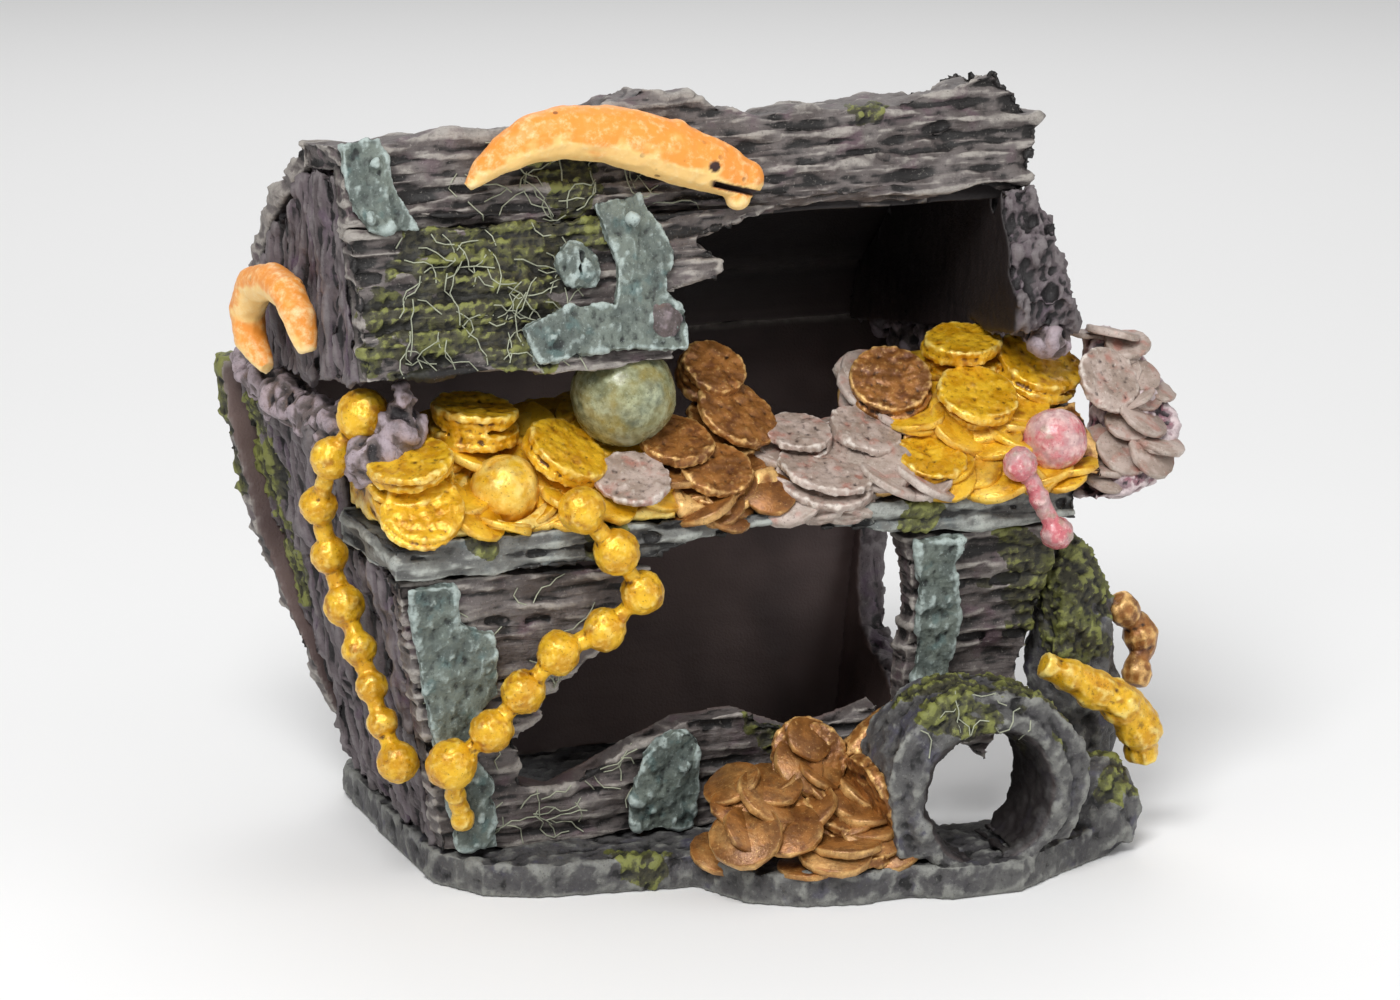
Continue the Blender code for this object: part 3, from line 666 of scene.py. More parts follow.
@dataclass(frozen=True)
class CastPaint:
    """Paint on cast resin: a base coat in two tones, a dark wash in the grooves that is partly painted shade, and a
    light dry brush on the ridges that is partly painted highlight.

    Attributes:
        name: The finish's name.
        base: The main tone.
        second: The tone of its patches.
        wash_and_shade: The colour in the grooves: a dark wash and painted shade.
        brush_and_highlight: The colour on the ridges: a light dry brush and painted highlight.
        patch: The size of the patches, in millimetres.
        grain: The size of the fine streaks along X, Y and Z, in millimetres.
        groove: How deep a groove is, in millimetres, when the dark wash and painted shade fill it.
        ridge: How high a ridge is when the dry brush and painted highlight cover it.
        brushing_and_highlight: The most that the dry brush and painted highlight cover.
        roughness: The paint's roughness.
        metallic: How metallic it is.
        bump: The depth of its fine bumps, in millimetres.
        stain: A third tone that shows in rare patches.
        staining: How much of it there is.
        mossy: Whether it takes moss where the mask moss is.
        lined: Whether the smooth brown of the inside shows where the mask inside is, turned near black by painted
            shade under the lid and in the tunnel's bore.
        streaking: How much the streaks sway the dark wash with its painted shade and the dry brush with its painted
            highlight, in millimetres of height.
    """

    name: str
    base: Triple
    second: Triple
    wash_and_shade: Triple
    brush_and_highlight: Triple
    patch: float = 7.0
    grain: Triple = (1.2, 1.2, 1.2)
    groove: float = 0.32
    ridge: float = 0.42
    brushing_and_highlight: float = 0.8
    roughness: float = 0.6
    metallic: float = 0.0
    bump: float = 0.25
    stain: Triple = (0.0, 0.0, 0.0)
    staining: float = 0.0
    mossy: bool = False
    lined: bool = False
    streaking: float = 0.3

    def make(self) -> bpy.types.Material:
        """Builds the material."""
        recipe = Recipe(self.name)
        relief = recipe.mask("relief")
        streaks = recipe.noise(self.grain, 4.0, 0.65)
        blotches = recipe.noise(self.patch, 3.0)
        height = relief + (streaks - 0.5) * self.streaking
        colour = recipe.mix(blotches.step(0.38, 0.62), self.base, self.second)
        if self.staining:
            rare = recipe.noise(self.patch * 0.8, 2.0).step(0.66 - 0.2 * self.staining, 0.72)
            colour = recipe.mix(rare * 0.75, colour, self.stain)
        # Dark wash in the grooves: partly the paint's own wash, partly painted shade in the recesses.
        colour = recipe.mix(height.step(-0.02, -self.groove) * 0.94, colour, self.wash_and_shade)
        # Light dry brush on the ridges and edges: partly the paint's own dry brush, partly painted highlight.
        dabs = recipe.noise(2.4, 4.0, 0.7).step(0.3, 0.62)
        brushed_and_highlit = height.step(0.15 * self.ridge, self.ridge) * (dabs * 0.6 + 0.4) * self.brushing_and_highlight
        colour = recipe.mix(brushed_and_highlit, colour, self.brush_and_highlight)
        flecks = recipe.noise(0.55, 2.0, 0.7)
        colour = recipe.mix(flecks.step(0.6, 0.74) * 0.4 * self.brushing_and_highlight, colour, self.brush_and_highlight)
        colour = recipe.mix(flecks.step(0.4, 0.28) * 0.5, colour, self.wash_and_shade)
        roughness = self.roughness + (blotches - 0.5) * 0.2
        if self.mossy:
            colour = self._moss(recipe, colour, relief, streaks)
        if self.lined:
            inside = recipe.mask("inside")
            tone = recipe.mix(recipe.noise(26.0, 2.0).step(0.3, 0.7), paint(66, 50, 48), paint(104, 86, 82))
            # Painted shade: the inside goes near black under the lid and in the tunnel's bore.
            tone = recipe.mix(recipe.mask("gloom"), tone, paint(26, 19, 19))
            colour = recipe.mix(inside, colour, tone)
            streaks = streaks * (1 - inside) + 0.5 * inside
        recipe.bump(streaks + recipe.noise(0.5, 2.0) * 0.5, self.bump)
        return recipe.finish(colour, roughness, self.metallic)

    def _moss(self, recipe: Recipe, colour: Signal, relief: Signal, streaks: Signal) -> Signal:
        """Lays olive moss over a colour, where the mask moss is: dark in its hollows, partly painted shade, and light
        on its tufts, partly painted highlight.

        Args:
            recipe: The material.
            colour: The colour under the moss.
            relief: How far the surface stands out.
            streaks: The fine streaks.

        Returns:
            The colour with its moss.
        """
        moss = recipe.mask("moss")
        tufts = recipe.noise(0.7, 4.0, 0.8)
        green = recipe.mix(recipe.noise(5.0, 3.0).step(0.46, 0.62), paint(54, 52, 32), paint(84, 86, 36))
        # Dark in the moss's hollows: partly the moss's own dark, partly painted shade.
        green = recipe.mix((relief + (tufts - 0.5) * 0.9).step(0.04, -0.24) * 0.92, green, paint(18, 17, 11))
        # Light on the tufts' tops: partly pale moss, partly painted highlight.
        green = recipe.mix((relief + (tufts - 0.5) * 1.1).step(0.2, 0.55) * 0.7, green, paint(136, 140, 66))
        cover = (moss + (recipe.noise(2.6, 5.0, 0.7) - 0.5) * 1.6 + (streaks - 0.5) * 0.4).step(0.46, 0.6)
        return recipe.mix(cover * 0.94, colour, green)


WOOD = CastPaint(
    "weathered_boards", paint(80, 72, 70), paint(102, 95, 93), paint(11, 9, 9), paint(174, 168, 160),
    patch=9.0, grain=(4.0, 4.0, 0.6), stain=paint(92, 72, 80), staining=0.6, brushing_and_highlight=0.75, mossy=True, lined=True,
)  # fmt: skip
UPRIGHT_WOOD = CastPaint(
    "weathered_end_boards", paint(74, 65, 67), paint(94, 84, 88), paint(13, 10, 12), paint(136, 130, 130),
    patch=8.0, grain=(0.7, 0.7, 4.0), stain=paint(84, 64, 84), staining=0.7, brushing_and_highlight=0.5, mossy=True, lined=True,
)  # fmt: skip
PALE_BOARD = CastPaint(
    "worn_rail_boards", paint(88, 88, 86), paint(110, 111, 107), paint(20, 18, 18), paint(182, 186, 179),
    patch=8.0, grain=(4.0, 4.0, 0.8), stain=paint(96, 106, 108), staining=0.6, brushing_and_highlight=0.75, mossy=True,
)  # fmt: skip
VERDIGRIS = CastPaint(
    "corroded_straps", paint(82, 91, 86), paint(106, 115, 107), paint(22, 26, 26), paint(184, 198, 194),
    patch=5.0, grain=(0.8, 0.8, 0.8), stain=paint(84, 106, 104), staining=0.5, groove=0.3, ridge=0.35, mossy=True,
)  # fmt: skip
ROCK = CastPaint(
    "sea_rock", paint(64, 62, 64), paint(84, 83, 82), paint(14, 13, 14), paint(150, 151, 144),
    patch=6.0, grain=(0.9, 0.9, 0.9), stain=paint(72, 70, 86), staining=0.5, brushing_and_highlight=0.65, mossy=True, lined=True,
)  # fmt: skip
BROKEN_ROCK = CastPaint(
    "broken_rock", paint(82, 73, 72), paint(106, 94, 92), paint(18, 13, 17), paint(186, 170, 178),
    patch=5.0, grain=(0.9, 0.9, 0.9), stain=paint(104, 82, 70), staining=0.7, brushing_and_highlight=0.7,
)  # fmt: skip
GOLD = CastPaint(
    "gold_paint", paint(208, 150, 18), paint(234, 184, 40), paint(74, 36, 6), paint(255, 234, 140),
    patch=4.0, grain=(0.8, 0.8, 0.8), groove=0.16, ridge=0.24, roughness=0.32, bump=0.12,
    metallic=0.25, streaking=0.12,
    stain=paint(160, 96, 12), staining=0.6, brushing_and_highlight=0.75,
)  # fmt: skip
COPPER = CastPaint(
    "copper_paint", paint(118, 74, 34), paint(158, 104, 50), paint(34, 16, 8), paint(248, 202, 128),
    patch=4.0, grain=(0.8, 0.8, 0.8), groove=0.16, ridge=0.24, roughness=0.36, bump=0.12,
    metallic=0.25, streaking=0.12,
    stain=paint(88, 44, 20), staining=0.6, brushing_and_highlight=0.9,
)  # fmt: skip
SILVER = CastPaint(
    "pale_coin_paint", paint(150, 132, 120), paint(178, 160, 150), paint(44, 28, 24), paint(232, 224, 214),
    patch=4.0, grain=(0.8, 0.8, 0.8), groove=0.16, ridge=0.24, roughness=0.45, bump=0.15, streaking=0.15,
    stain=paint(164, 108, 94), staining=0.8, brushing_and_highlight=0.75,
)  # fmt: skip
GEM = CastPaint(
    "amethyst_paint", paint(112, 96, 100), paint(138, 112, 118), paint(32, 22, 28), paint(220, 206, 206),
    patch=3.0, groove=0.16, ridge=0.26, roughness=0.45, bump=0.16, stain=paint(150, 82, 98), staining=0.9,
)  # fmt: skip
PINK = CastPaint(
    "pink_pearl_paint", paint(196, 104, 112), paint(186, 148, 148), paint(104, 40, 56), paint(248, 220, 212),
    patch=3.6, groove=0.3, ridge=0.3, roughness=0.28, bump=0.08, stain=paint(158, 146, 128), staining=0.8,
)  # fmt: skip
GREEN_PEARL = CastPaint(
    "green_pearl_paint", paint(84, 90, 70), paint(118, 114, 70), paint(36, 36, 28), paint(184, 190, 156),
    patch=7.0, groove=0.4, ridge=0.4, roughness=0.26, bump=0.08, stain=paint(142, 126, 60), staining=0.9,
)  # fmt: skip
STONE_GRIT = CastPaint(
    "air_stone_grit", paint(58, 92, 150), paint(70, 106, 166), paint(22, 40, 84), paint(120, 152, 202),
    patch=4.0, grain=(0.6, 0.6, 0.6), groove=0.2, ridge=0.3, roughness=0.9, bump=0.3,
)  # fmt: skip


@dataclass(frozen=True)
class EelSkin:
    """The eel's paint: orange above, cream below, with small brown spots and a dark eye and mouth, cream on its raised
    skin that is partly painted highlight, and painted shade in brown in its grooves.

    Attributes:
        name: The finish's name.
        back: The colour above.
        belly: The colour below.
        spot: The colour of its spots.
        dark: The colour of its eye and mouth.
    """

    name: str = "eel_paint"
    back: Triple = paint(238, 150, 58)
    belly: Triple = paint(250, 206, 128)
    spot: Triple = paint(120, 70, 30)
    dark: Triple = paint(48, 20, 16)

    def make(self) -> bpy.types.Material:
        """Builds the material."""
        recipe = Recipe(self.name)
        relief = recipe.mask("relief")
        flow = recipe.noise(6.0, 3.0)
        fine = recipe.noise(1.4, 4.0, 0.7)
        colour = recipe.mix((flow + recipe.mask("underside") * 0.5 - 0.25).step(0.35, 0.65), self.back, self.belly)
        # Cream on the raised skin: partly cream patches, partly painted highlight.
        colour = recipe.mix((fine + relief * 0.6).step(0.5, 0.85) * 0.6, colour, paint(255, 232, 178))
        freckles = recipe.cells(3.4).step(0.2, 0.12) * recipe.noise(9.0, 1.0).step(0.5, 0.6)
        colour = recipe.mix(freckles * 0.8, colour, self.spot)
        # Painted shade: brown in the grooves.
        colour = recipe.mix(relief.step(-0.05, -0.4) * 0.7, colour, paint(150, 76, 26))
        colour = recipe.mix(recipe.mask("dark"), colour, self.dark)
        recipe.bump(fine, 0.12)
        return recipe.finish(colour, 0.42 + fine * 0.15)


@dataclass(frozen=True)
class Moulded:
    """A plain moulded plastic or rubber, with a fine uneven surface.

    Attributes:
        name: The finish's name.
        colour: Its colour.
        roughness: Its roughness.
        unevenness: The depth of its surface, in millimetres.
    """

    name: str
    colour: Triple
    roughness: float
    unevenness: float = 0.05

    def make(self) -> bpy.types.Material:
        """Builds the material."""
        recipe = Recipe(self.name)
        haze = recipe.noise(3.0, 3.0)
        shade = tuple(0.8 * c for c in self.colour)
        recipe.bump(recipe.noise(0.8, 2.0), self.unevenness)
        return recipe.finish(recipe.mix(haze.step(0.4, 0.6), shade, self.colour), self.roughness + (haze - 0.5) * 0.15)


class Paints:
    """Makes each finish once and hands out its material."""

    def __init__(self) -> None:
        """Starts with no material made."""
        self.made: dict[str, bpy.types.Material] = {}

    def of(self, finish: "CastPaint | EelSkin | Moulded") -> bpy.types.Material:
        """The material of a finish, made when it is first asked for.

        Args:
            finish: The finish.

        Returns:
            Its material.
        """
        if finish.name not in self.made:
            self.made[finish.name] = finish.make()
        return self.made[finish.name]

    def coat(self, piece: bpy.types.Object, finish: "CastPaint | EelSkin | Moulded") -> bpy.types.Object:
        """Covers a piece with one finish.

        Args:
            piece: The piece.
            finish: The finish.

        Returns:
            The same piece.
        """
        piece.data.materials.clear()
        piece.data.materials.append(self.of(finish))
        return piece


# ---------------------------------------------------------------- Boards


def gap_bar(centre: Triple, size: Triple, turn: Triple = (0, 0, 0)) -> bpy.types.Object:
    """A thin uneven bar that cuts the gap between two boards.

    Args:
        centre: Its middle, in millimetres.
        size: Its length along each axis before it is turned.
        turn: Its turn about each axis, in degrees.

    Returns:
        The bar.
    """
    clear_selection()
    bpy.ops.mesh.primitive_cube_add(size=1)
    bar = bpy.context.object
    bar.scale = Vector(size) * MM
    settle(bar)
    bpy.ops.object.mode_set(mode="EDIT")
    bpy.ops.mesh.select_all(action="SELECT")
    bpy.ops.mesh.subdivide(number_cuts=6)
    bpy.ops.object.mode_set(mode="OBJECT")
    thin = min(range(3), key=lambda axis: size[axis])
    places = positions(bar)
    length = places[:, max(range(3), key=lambda axis: size[axis])] / MM
    places[:, thin] += (np.sin(length * 0.11 + centre[2]) + 0.6 * np.sin(length * 0.31 + centre[1])) * 0.7 * MM
    move_points(bar, places)
    bar.location = Vector(centre) * MM
    bar.rotation_euler = [math.radians(angle) for angle in turn]
    return settle(bar)


@dataclass
class BoardWork:
    """How a boarded wall is worked from its CAD node.

    Attributes:
        node: The CAD node.
        gaps: The bars that cut the gaps between its boards: centre, size and turn.
        along: The size of its grain along X, Y and Z, in millimetres.
        finish: Its paint.
        moss: Its moss patches: centre and radius.
        heart: The middle of the hollow that its inside faces, in millimetres.
        across: The axes that the hollow lies across: the long panels look past X, and the ends only along it.
        lift: How far its top edge is raised to meet the lid.
        depth: The depth of its grain, in millimetres.
        voxel: The size of its faces.
        bulge: How far its surface wanders.
    """

    node: str
    gaps: Sequence[tuple[Triple, Triple, Triple]] = ()
    along: Triple = (30.0, 30.0, 3.6)
    finish: CastPaint = WOOD
    moss: Sequence[tuple[Triple, float]] = ()
    heart: Triple = (0.0, 0.0, 40.0)
    across: Triple = (0.0, 1.0, 1.0)
    lift: float = 0.0
    depth: float = 1.0
    voxel: float = 0.6
    bulge: float = 1.6

    def build(self, paints: Paints) -> bpy.types.Object:
        """Builds the worked wall.

        Args:
            paints: The shelf of finishes.

        Returns:
            The finished piece, in place of its node.
        """
        piece = cast_of(self.node, self.node + "_boards")
        if self.gaps:
            cut(piece, join([gap_bar(*gap) for gap in self.gaps], "gap_bars"))
        remesh(piece, self.voxel)
        if self.lift:
            places = positions(piece)
            places[:, 2] += smooth_step(places[:, 2], 76 * MM, 83 * MM) * self.lift * MM
            move_points(piece, places)
        self._mark(piece)
        fine = tuple(0.38 * s for s in self.along)
        carve(piece, [
            Carving((15, 15, 15), self.bulge * 1.2, mask="outside", shift=0.3),
            Carving(self.along, self.depth, mask="outside", contrast=3.2, brightness=1.3, middle=1.0),
            Carving(fine, self.depth * 0.6, mask="outside", contrast=2.4, brightness=1.2, middle=1.0, shift=0.9),
            Carving((7, 7, 5), 1.3, Pattern.LUMPS, mask="outside", shift=0.4),
            Carving((1.6, 1.6, 1.3), 0.5, mask="outside", shift=0.7),
            Carving((1.2, 1.2, 1.2), 1.1, mask="moss", middle=0.4, contrast=1.8),
        ])  # fmt: skip
        write_relief(piece)
        paints.coat(piece, self.finish)
        slot = FRAME_SLOTS[self.node]
        return mount(piece, self.node, slot=slot)

    def _mark(self, piece: bpy.types.Object) -> None:
        """Marks the worn outside, the smooth inside, the painted shade that darkens its upper inside, and the moss.

        Args:
            piece: The piece.
        """
        places, facing = positions(piece), normals(piece)
        away = (places - np.array(self.heart) * MM) * np.array(self.across)
        away /= np.linalg.norm(away, axis=1)[:, None]
        outwards = (away * facing).sum(axis=1)
        inside = 1 - smooth_step(outwards, -0.75, -0.35)
        write_mask(piece, "inside", inside)
        write_mask(piece, "outside", 1 - 0.9 * inside)
        # Painted shade: the inside darkens towards the top, under the lid.
        write_mask(piece, "gloom", smooth_step(places[:, 2] / MM, 72, 100))
        write_mask(piece, "moss", patch_mask(piece, self.moss) * (1 - inside))


@dataclass
class ChestBody:
    """The broken box: its walls and the rail along its front rim.

    Attributes:
        front_gaps: The heights of the gaps between the front boards, in millimetres.
        side_gaps: The Y of the gaps between the end boards.
        back_gaps: The heights of the gaps between the back boards.
    """

    front_gaps: Sequence[float] = (15.5, 27.0, 39.5, 51.5)
    side_gaps: Sequence[float] = (-22.0, -6.0, 9.0, 24.0)
    back_gaps: Sequence[float] = (14.0, 27.0, 41.0, 55.0, 69.0)

    def build(self, paints: Paints) -> None:
        """Builds and dresses each wall.

        Args:
            paints: The shelf of finishes.
        """
        spread = RIM_DEPTH - FOOT_DEPTH
        front = [((0, -FOOT_DEPTH - spread * z / WALL_HEIGHT, z), (150, 3.4, 1.3), (0, 0.8 * math.sin(z), 0))
                 for z in self.front_gaps]  # fmt: skip
        back = [((0, FOOT_DEPTH + spread * z / WALL_HEIGHT, z), (170, 3.6, 1.2), (0, 0.6 * math.sin(z), 0))
                for z in self.back_gaps]  # fmt: skip
        left, right = ([((side * 60, y, 40), (3.4, 1.3, 120), (0, side * END_WALL_LEAN, 0)) for y in self.side_gaps]
                       for side in (-1, 1))  # fmt: skip
        walls = [
            BoardWork("front_wall_left", front, moss=[((-32, -38, 30), 5), ((12, -37, 27), 6)]),
            BoardWork("front_wall_right", front, moss=[((62, -42, 45), 9), ((56, -43, 56), 6)]),
            BoardWork("back_wall", back, voxel=0.8, lift=3.6,
                      moss=[((-74, 46, 78), 11), ((-70, 46, 62), 6), ((20, 48, 70), 14), ((50, 42, 20), 10)]),
            BoardWork("left_end_wall", left, (3.4, 3.4, 26), UPRIGHT_WOOD,
                      [((-66, 36, 70), 13), ((-60, 30, 48), 9)], depth=1.8, bulge=2.4, voxel=0.7, across=(1, 0, 0)),
            BoardWork("right_end_wall", right, (3.4, 3.4, 26), UPRIGHT_WOOD, [((64, 10, 70), 12)],
                      bulge=1.8, voxel=0.7, across=(1, 0, 0)),
            BoardWork("treasure_ledge", [((0, -47, 65.6), (150, 2.6, 1.1), (0, 0.5, 0))], finish=PALE_BOARD,
                      moss=[((-26, -48, 66), 5), ((-50, -47, 69), 4), ((34, -47, 66), 5)],
                      heart=(0, 60, 40), bulge=1.2),
        ]  # fmt: skip
        for wall in walls:
            wall.build(paints)


@dataclass
class Lid:
    """The half-open lid, whose front panel is broken away on its right.

    Attributes:
        tilt: Its turn about X from level, in degrees.
        hinge: The middle of its back edge, in millimetres.
        front_rise: How high its front panel stands.
        front_run: How far the panel leans back over that height.
    """

    tilt: float = -8.2
    hinge: Triple = (0.0, RIM_DEPTH, 84.0)
    front_rise: float = 42.0
    front_run: float = 10.0

    def at(self, x: float, y: float, z: float) -> Triple:
        """A place in the lid's own frame, in millimetres, as the chest's frame has it."""
        turned = Matrix.Rotation(math.radians(self.tilt), 3, "X") @ Vector((x, y, z))
        return tuple(turned + Vector(self.hinge))

    def build(self, paints: Paints) -> None:
        """Builds and dresses each panel.

        Args:
            paints: The shelf of finishes.
        """
        lean = self.tilt - math.degrees(math.atan(self.front_run / self.front_rise))
        front = [(self.at(0, -90 + self.front_run * z / self.front_rise, z), (150, 3.2, 1.2), (lean, 0.5, 0))
                 for z in (9.5, 18.5)]  # fmt: skip
        beam = [(self.at(0, -81, 33.5), (150, 3.0, 1.1), (lean, -0.6, 0)),
                (self.at(0, -70, 42.6), (150, 1.2, 3.0), (self.tilt, 0, 0.7))]  # fmt: skip
        back = [(self.at(0, y, z), (150, 1.2, 3.2), (turn, 0, 0.4)) for y, z, turn in
                ((-4.5, 8, 60), (-17, 20.6, 36), (-26, 27.3, 36), (-43, 37, 24))]  # fmt: skip
        sides = [((-69.5, y, 108), (3.0, 1.2, 90), (self.tilt, 0, 0)) for y in (-22, -8, 7, 21)]
        moss = [(self.at(-46, -86, 19), 13), (self.at(-31, -84, 24), 10), (self.at(-58, -88, 10), 11),
                (self.at(-40, -88, 9), 9)]  # fmt: skip
        high = self.at(0, -40, 12)
        works = [
            BoardWork("lid_front_panel", front, moss=moss, heart=high, depth=1.4),
            BoardWork("lid_top_beam", beam, moss=[(self.at(-28, -81, 36), 8), (self.at(34, -78, 44), 5)], heart=high,
                      bulge=2.2, depth=1.7),
            BoardWork("lid_back_panel", back, heart=high, voxel=0.9,
                      moss=[(self.at(-30, -30, 33), 16), (self.at(40, -14, 20), 14)]),
            BoardWork("lid_left_end", sides, (3.4, 3.4, 26), UPRIGHT_WOOD, heart=high, bulge=2.4, depth=1.7,
                      across=(1, 0, 0)),
            BoardWork("lid_right_end", [], (3.4, 3.4, 8), UPRIGHT_WOOD, heart=high, bulge=2.8, depth=1.8,
                      across=(1, 0, 0)),
        ]  # fmt: skip
        for work in works:
            work.build(paints)


@dataclass
class Ironwork:
    """The corroded straps, the hasp and the stud, with the nails that hold them.

    Attributes:
        nail_radius: The radius of a nail's head, in millimetres.
        nails: The nails of each CAD node.
    """

    nail_radius: float = 1.15
    nails: dict = field(default_factory=lambda: {
        "corner_strap": [(-59.5, -46.6, 58), (-51.5, -42.2, 44.5), (-47.4, -35.2, 14)],
        "front_strap_centre": [(-8.2, -37.6, 20), (-13.6, -34.4, 11)],
        "front_strap_right": [(38.8, -46.3, 59), (39.6, -40.6, 36)],
        "lid_corner_strap": [(-65.4, -33.8, 125), (-63.5, -30.6, 134)],
        "lid_hasp": [(-11.6, -41.8, 103.4), (-35, -41.8, 102.6), (-17.6, -36.6, 122)],
    })  # fmt: skip

    def build(self, paints: Paints) -> None:
        """Builds and dresses each strap and the stud.

        Args:
            paints: The shelf of finishes.
        """
        for node, places in self.nails.items():
            parts = [cast_of(node, node + "_iron")] + [ball(place, self.nail_radius, 14, 8) for place in places]
            self._work(join(parts, node + "_iron"), node, paints)
        stud = cast_of("lid_stud", "lid_stud_iron")
        low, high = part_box("lid_stud")
        clear_selection()
        middle = (Vector(low) + Vector(high)) / 2
        bpy.ops.mesh.primitive_cube_add(size=1, location=middle + Vector((0, -2.4, 0.6)) * MM, rotation=(0, 0.2, 0))
        slot = bpy.context.object
        slot.scale = (0.9 * MM, 5 * MM, 5.5 * MM)
        cut(stud, settle(slot))
        self._work(stud, "lid_stud", paints)

    def _work(self, piece: bpy.types.Object, node: str, paints: Paints) -> None:
        """Skins, corrodes and paints one piece of iron.

        Args:
            piece: The piece.
            node: The CAD node that it stands for.
            paints: The shelf of finishes.
        """
        remesh(piece, 0.42)
        write_mask(piece, "moss", np.zeros(len(piece.data.vertices)))
        carve(piece, [
            Carving((7, 7, 7), 1.7, shift=0.6),
            Carving((3.4, 3.4, 3.4), 1.1, Pattern.LUMPS),
            Carving((1.3, 1.3, 2.6), 0.7, shift=0.2, contrast=1.6),
        ])  # fmt: skip
        write_relief(piece)
        paints.coat(piece, VERDIGRIS)
        mount(piece, node, slot="corroded_iron")


@dataclass
class Rocks:
    """The rocky base, the round stone tunnel and the mossy rock beside it."""

    def build(self, paints: Paints) -> None:
        """Builds and dresses each rock.

        Args:
            paints: The shelf of finishes.
        """
        self._rock("base_slab", 0.75, [((70, -52, 14), 7), ((-20, -46, 5), 5)], 1.8, paints, flat_under=True)
        self._rock("tunnel_arch", 0.55, [((34, -62, 35), 9), ((50, -60, 33), 9), ((60, -58, 16), 6)], 1.5, paints)
        self._rock("flank_rock", 0.55, [((68, -42, 52), 12), ((66, -44, 40), 8)], 2.2, paints)

    @staticmethod
    def _lip() -> bpy.types.Object:
        """Adds the raised lip round the tunnel's mouth.

        Returns:
            The lip.
        """
        clear_selection()
        x, z = TUNNEL_AXIS
        bpy.ops.mesh.primitive_torus_add(
            location=Vector((x, -68.2, z)) * MM, rotation=(math.radians(90), 0, 0),
            major_radius=14.4 * MM, minor_radius=1.7 * MM, major_segments=40,
        )  # fmt: skip
        return settle(bpy.context.object)

    def _rock(self, node: str, voxel: float, moss: Sequence[tuple[Triple, float]], rough: float, paints: Paints,
              flat_under: bool = False) -> None:  # fmt: skip
        """Works one rock from its CAD node.

        Args:
            node: The CAD node.
            voxel: The size of its faces, in millimetres.
            moss: Its moss patches.
            rough: The height of its lumps.
            paints: The shelf of finishes.
            flat_under: Whether its underside stays flat.
        """
        piece = cast_of(node, node + "_stone")
        if node == "tunnel_arch":
            piece = join([piece, self._lip()], piece.name)
        remesh(piece, voxel)
        places = positions(piece)
        from_axis = np.linalg.norm(places[:, (0, 2)] / MM - np.array(TUNNEL_AXIS), axis=1)
        bore = (1 - smooth_step(from_axis, 12.4, 13.2)) * (1 - smooth_step(places[:, 1] / MM, -52, -50))
        write_mask(piece, "inside", bore * (node == "tunnel_arch") * 0.9)
        # Painted shade: the tunnel's bore is painted near black.
        write_mask(piece, "gloom", bore)
        worked = smooth_step(places[:, 2], 0.2 * MM, 1.5 * MM) if flat_under else np.ones(len(places))
        write_mask(piece, "worked", worked)
        write_mask(piece, "moss", patch_mask(piece, moss))
        carve(piece, [
            Carving((9, 9, 9), rough, mask="worked"),
            Carving((3.6, 3.6, 3.6), rough * 0.7, Pattern.LUMPS, mask="worked", shift=0.5),
            Carving((1.8, 1.8, 1.8), 0.8, mask="worked", shift=0.1, contrast=1.4),
            Carving((1.3, 1.3, 1.3), 1.5, mask="moss", middle=0.3, contrast=1.8),
        ])  # fmt: skip
        write_relief(piece)
        paints.coat(piece, ROCK)
        mount(piece, node, slot="sea_rock")


@dataclass
class Rubble:
    """Broken rock in the seams between the box and the lid, and the knob on the hasp.

    Attributes:
        seams: For each seam its start, its end, its lumps' radius and their number, in millimetres.
        knob: The middle of the knob.
        knob_radius: Its radius.
    """

    seams: dict = field(default_factory=lambda: {
        "left_seam": ((-66.5, -36, 81), (-67, 36, 85), 5.4, 22),
        "left_corner": ((-63, -37, 83), (-60, -34, 92), 4.4, 5),
        "right_seam": ((65, -16, 85.5), (65, 38, 85), 5.2, 20),
        "right_front": ((66, -36, 93), (68, -22, 96), 4.4, 6),
    })  # fmt: skip
    knob: Triple = (-13.4, -39.6, 104.2)
    knob_radius: float = 3.5

    def build(self, paints: Paints) -> None:
        """Builds and dresses the rubble and the knob.

        Args:
            paints: The shelf of finishes.
        """
        for name, (start, end, radius, count) in self.seams.items():
            draw = random.Random(name)
            lumps = []
            for i in range(count):
                middle = Vector(start).lerp(Vector(end), i / (count - 1))
                sway = Vector([draw.uniform(-1.6, 1.6) for _ in range(3)])
                clear_selection()
                bpy.ops.mesh.primitive_ico_sphere_add(subdivisions=1, radius=radius * draw.uniform(0.7, 1.15) * MM,
                                                      location=(middle + sway) * MM,
                                                      rotation=[draw.uniform(0, 3) for _ in range(3)])  # fmt: skip
                lumps.append(settle(bpy.context.object))
            piece = remesh(join(lumps, name + "_rubble"), 0.6)
            write_mask(piece, "moss", np.zeros(len(piece.data.vertices)))
            carve(piece, [
                Carving((7, 7, 7), 4.5, contrast=1.6),
                Carving((3, 3, 3), 1.8, Pattern.LUMPS),
                Carving((1.5, 1.5, 1.5), 0.6, shift=0.5),
            ])  # fmt: skip
            write_relief(piece)
            mount(paints.coat(piece, BROKEN_ROCK), slot="sea_rock")
        ball(self.knob, self.knob_radius, 24, 16)
        knob = remesh(name_piece("hasp_knob"), 0.4)
        carve(knob, [Carving((4, 4, 4), 1.4), Carving((1.4, 1.4, 1.4), 0.5)])
        write_relief(knob)
        mount(paints.coat(knob, BROKEN_ROCK), slot="corroded_iron")


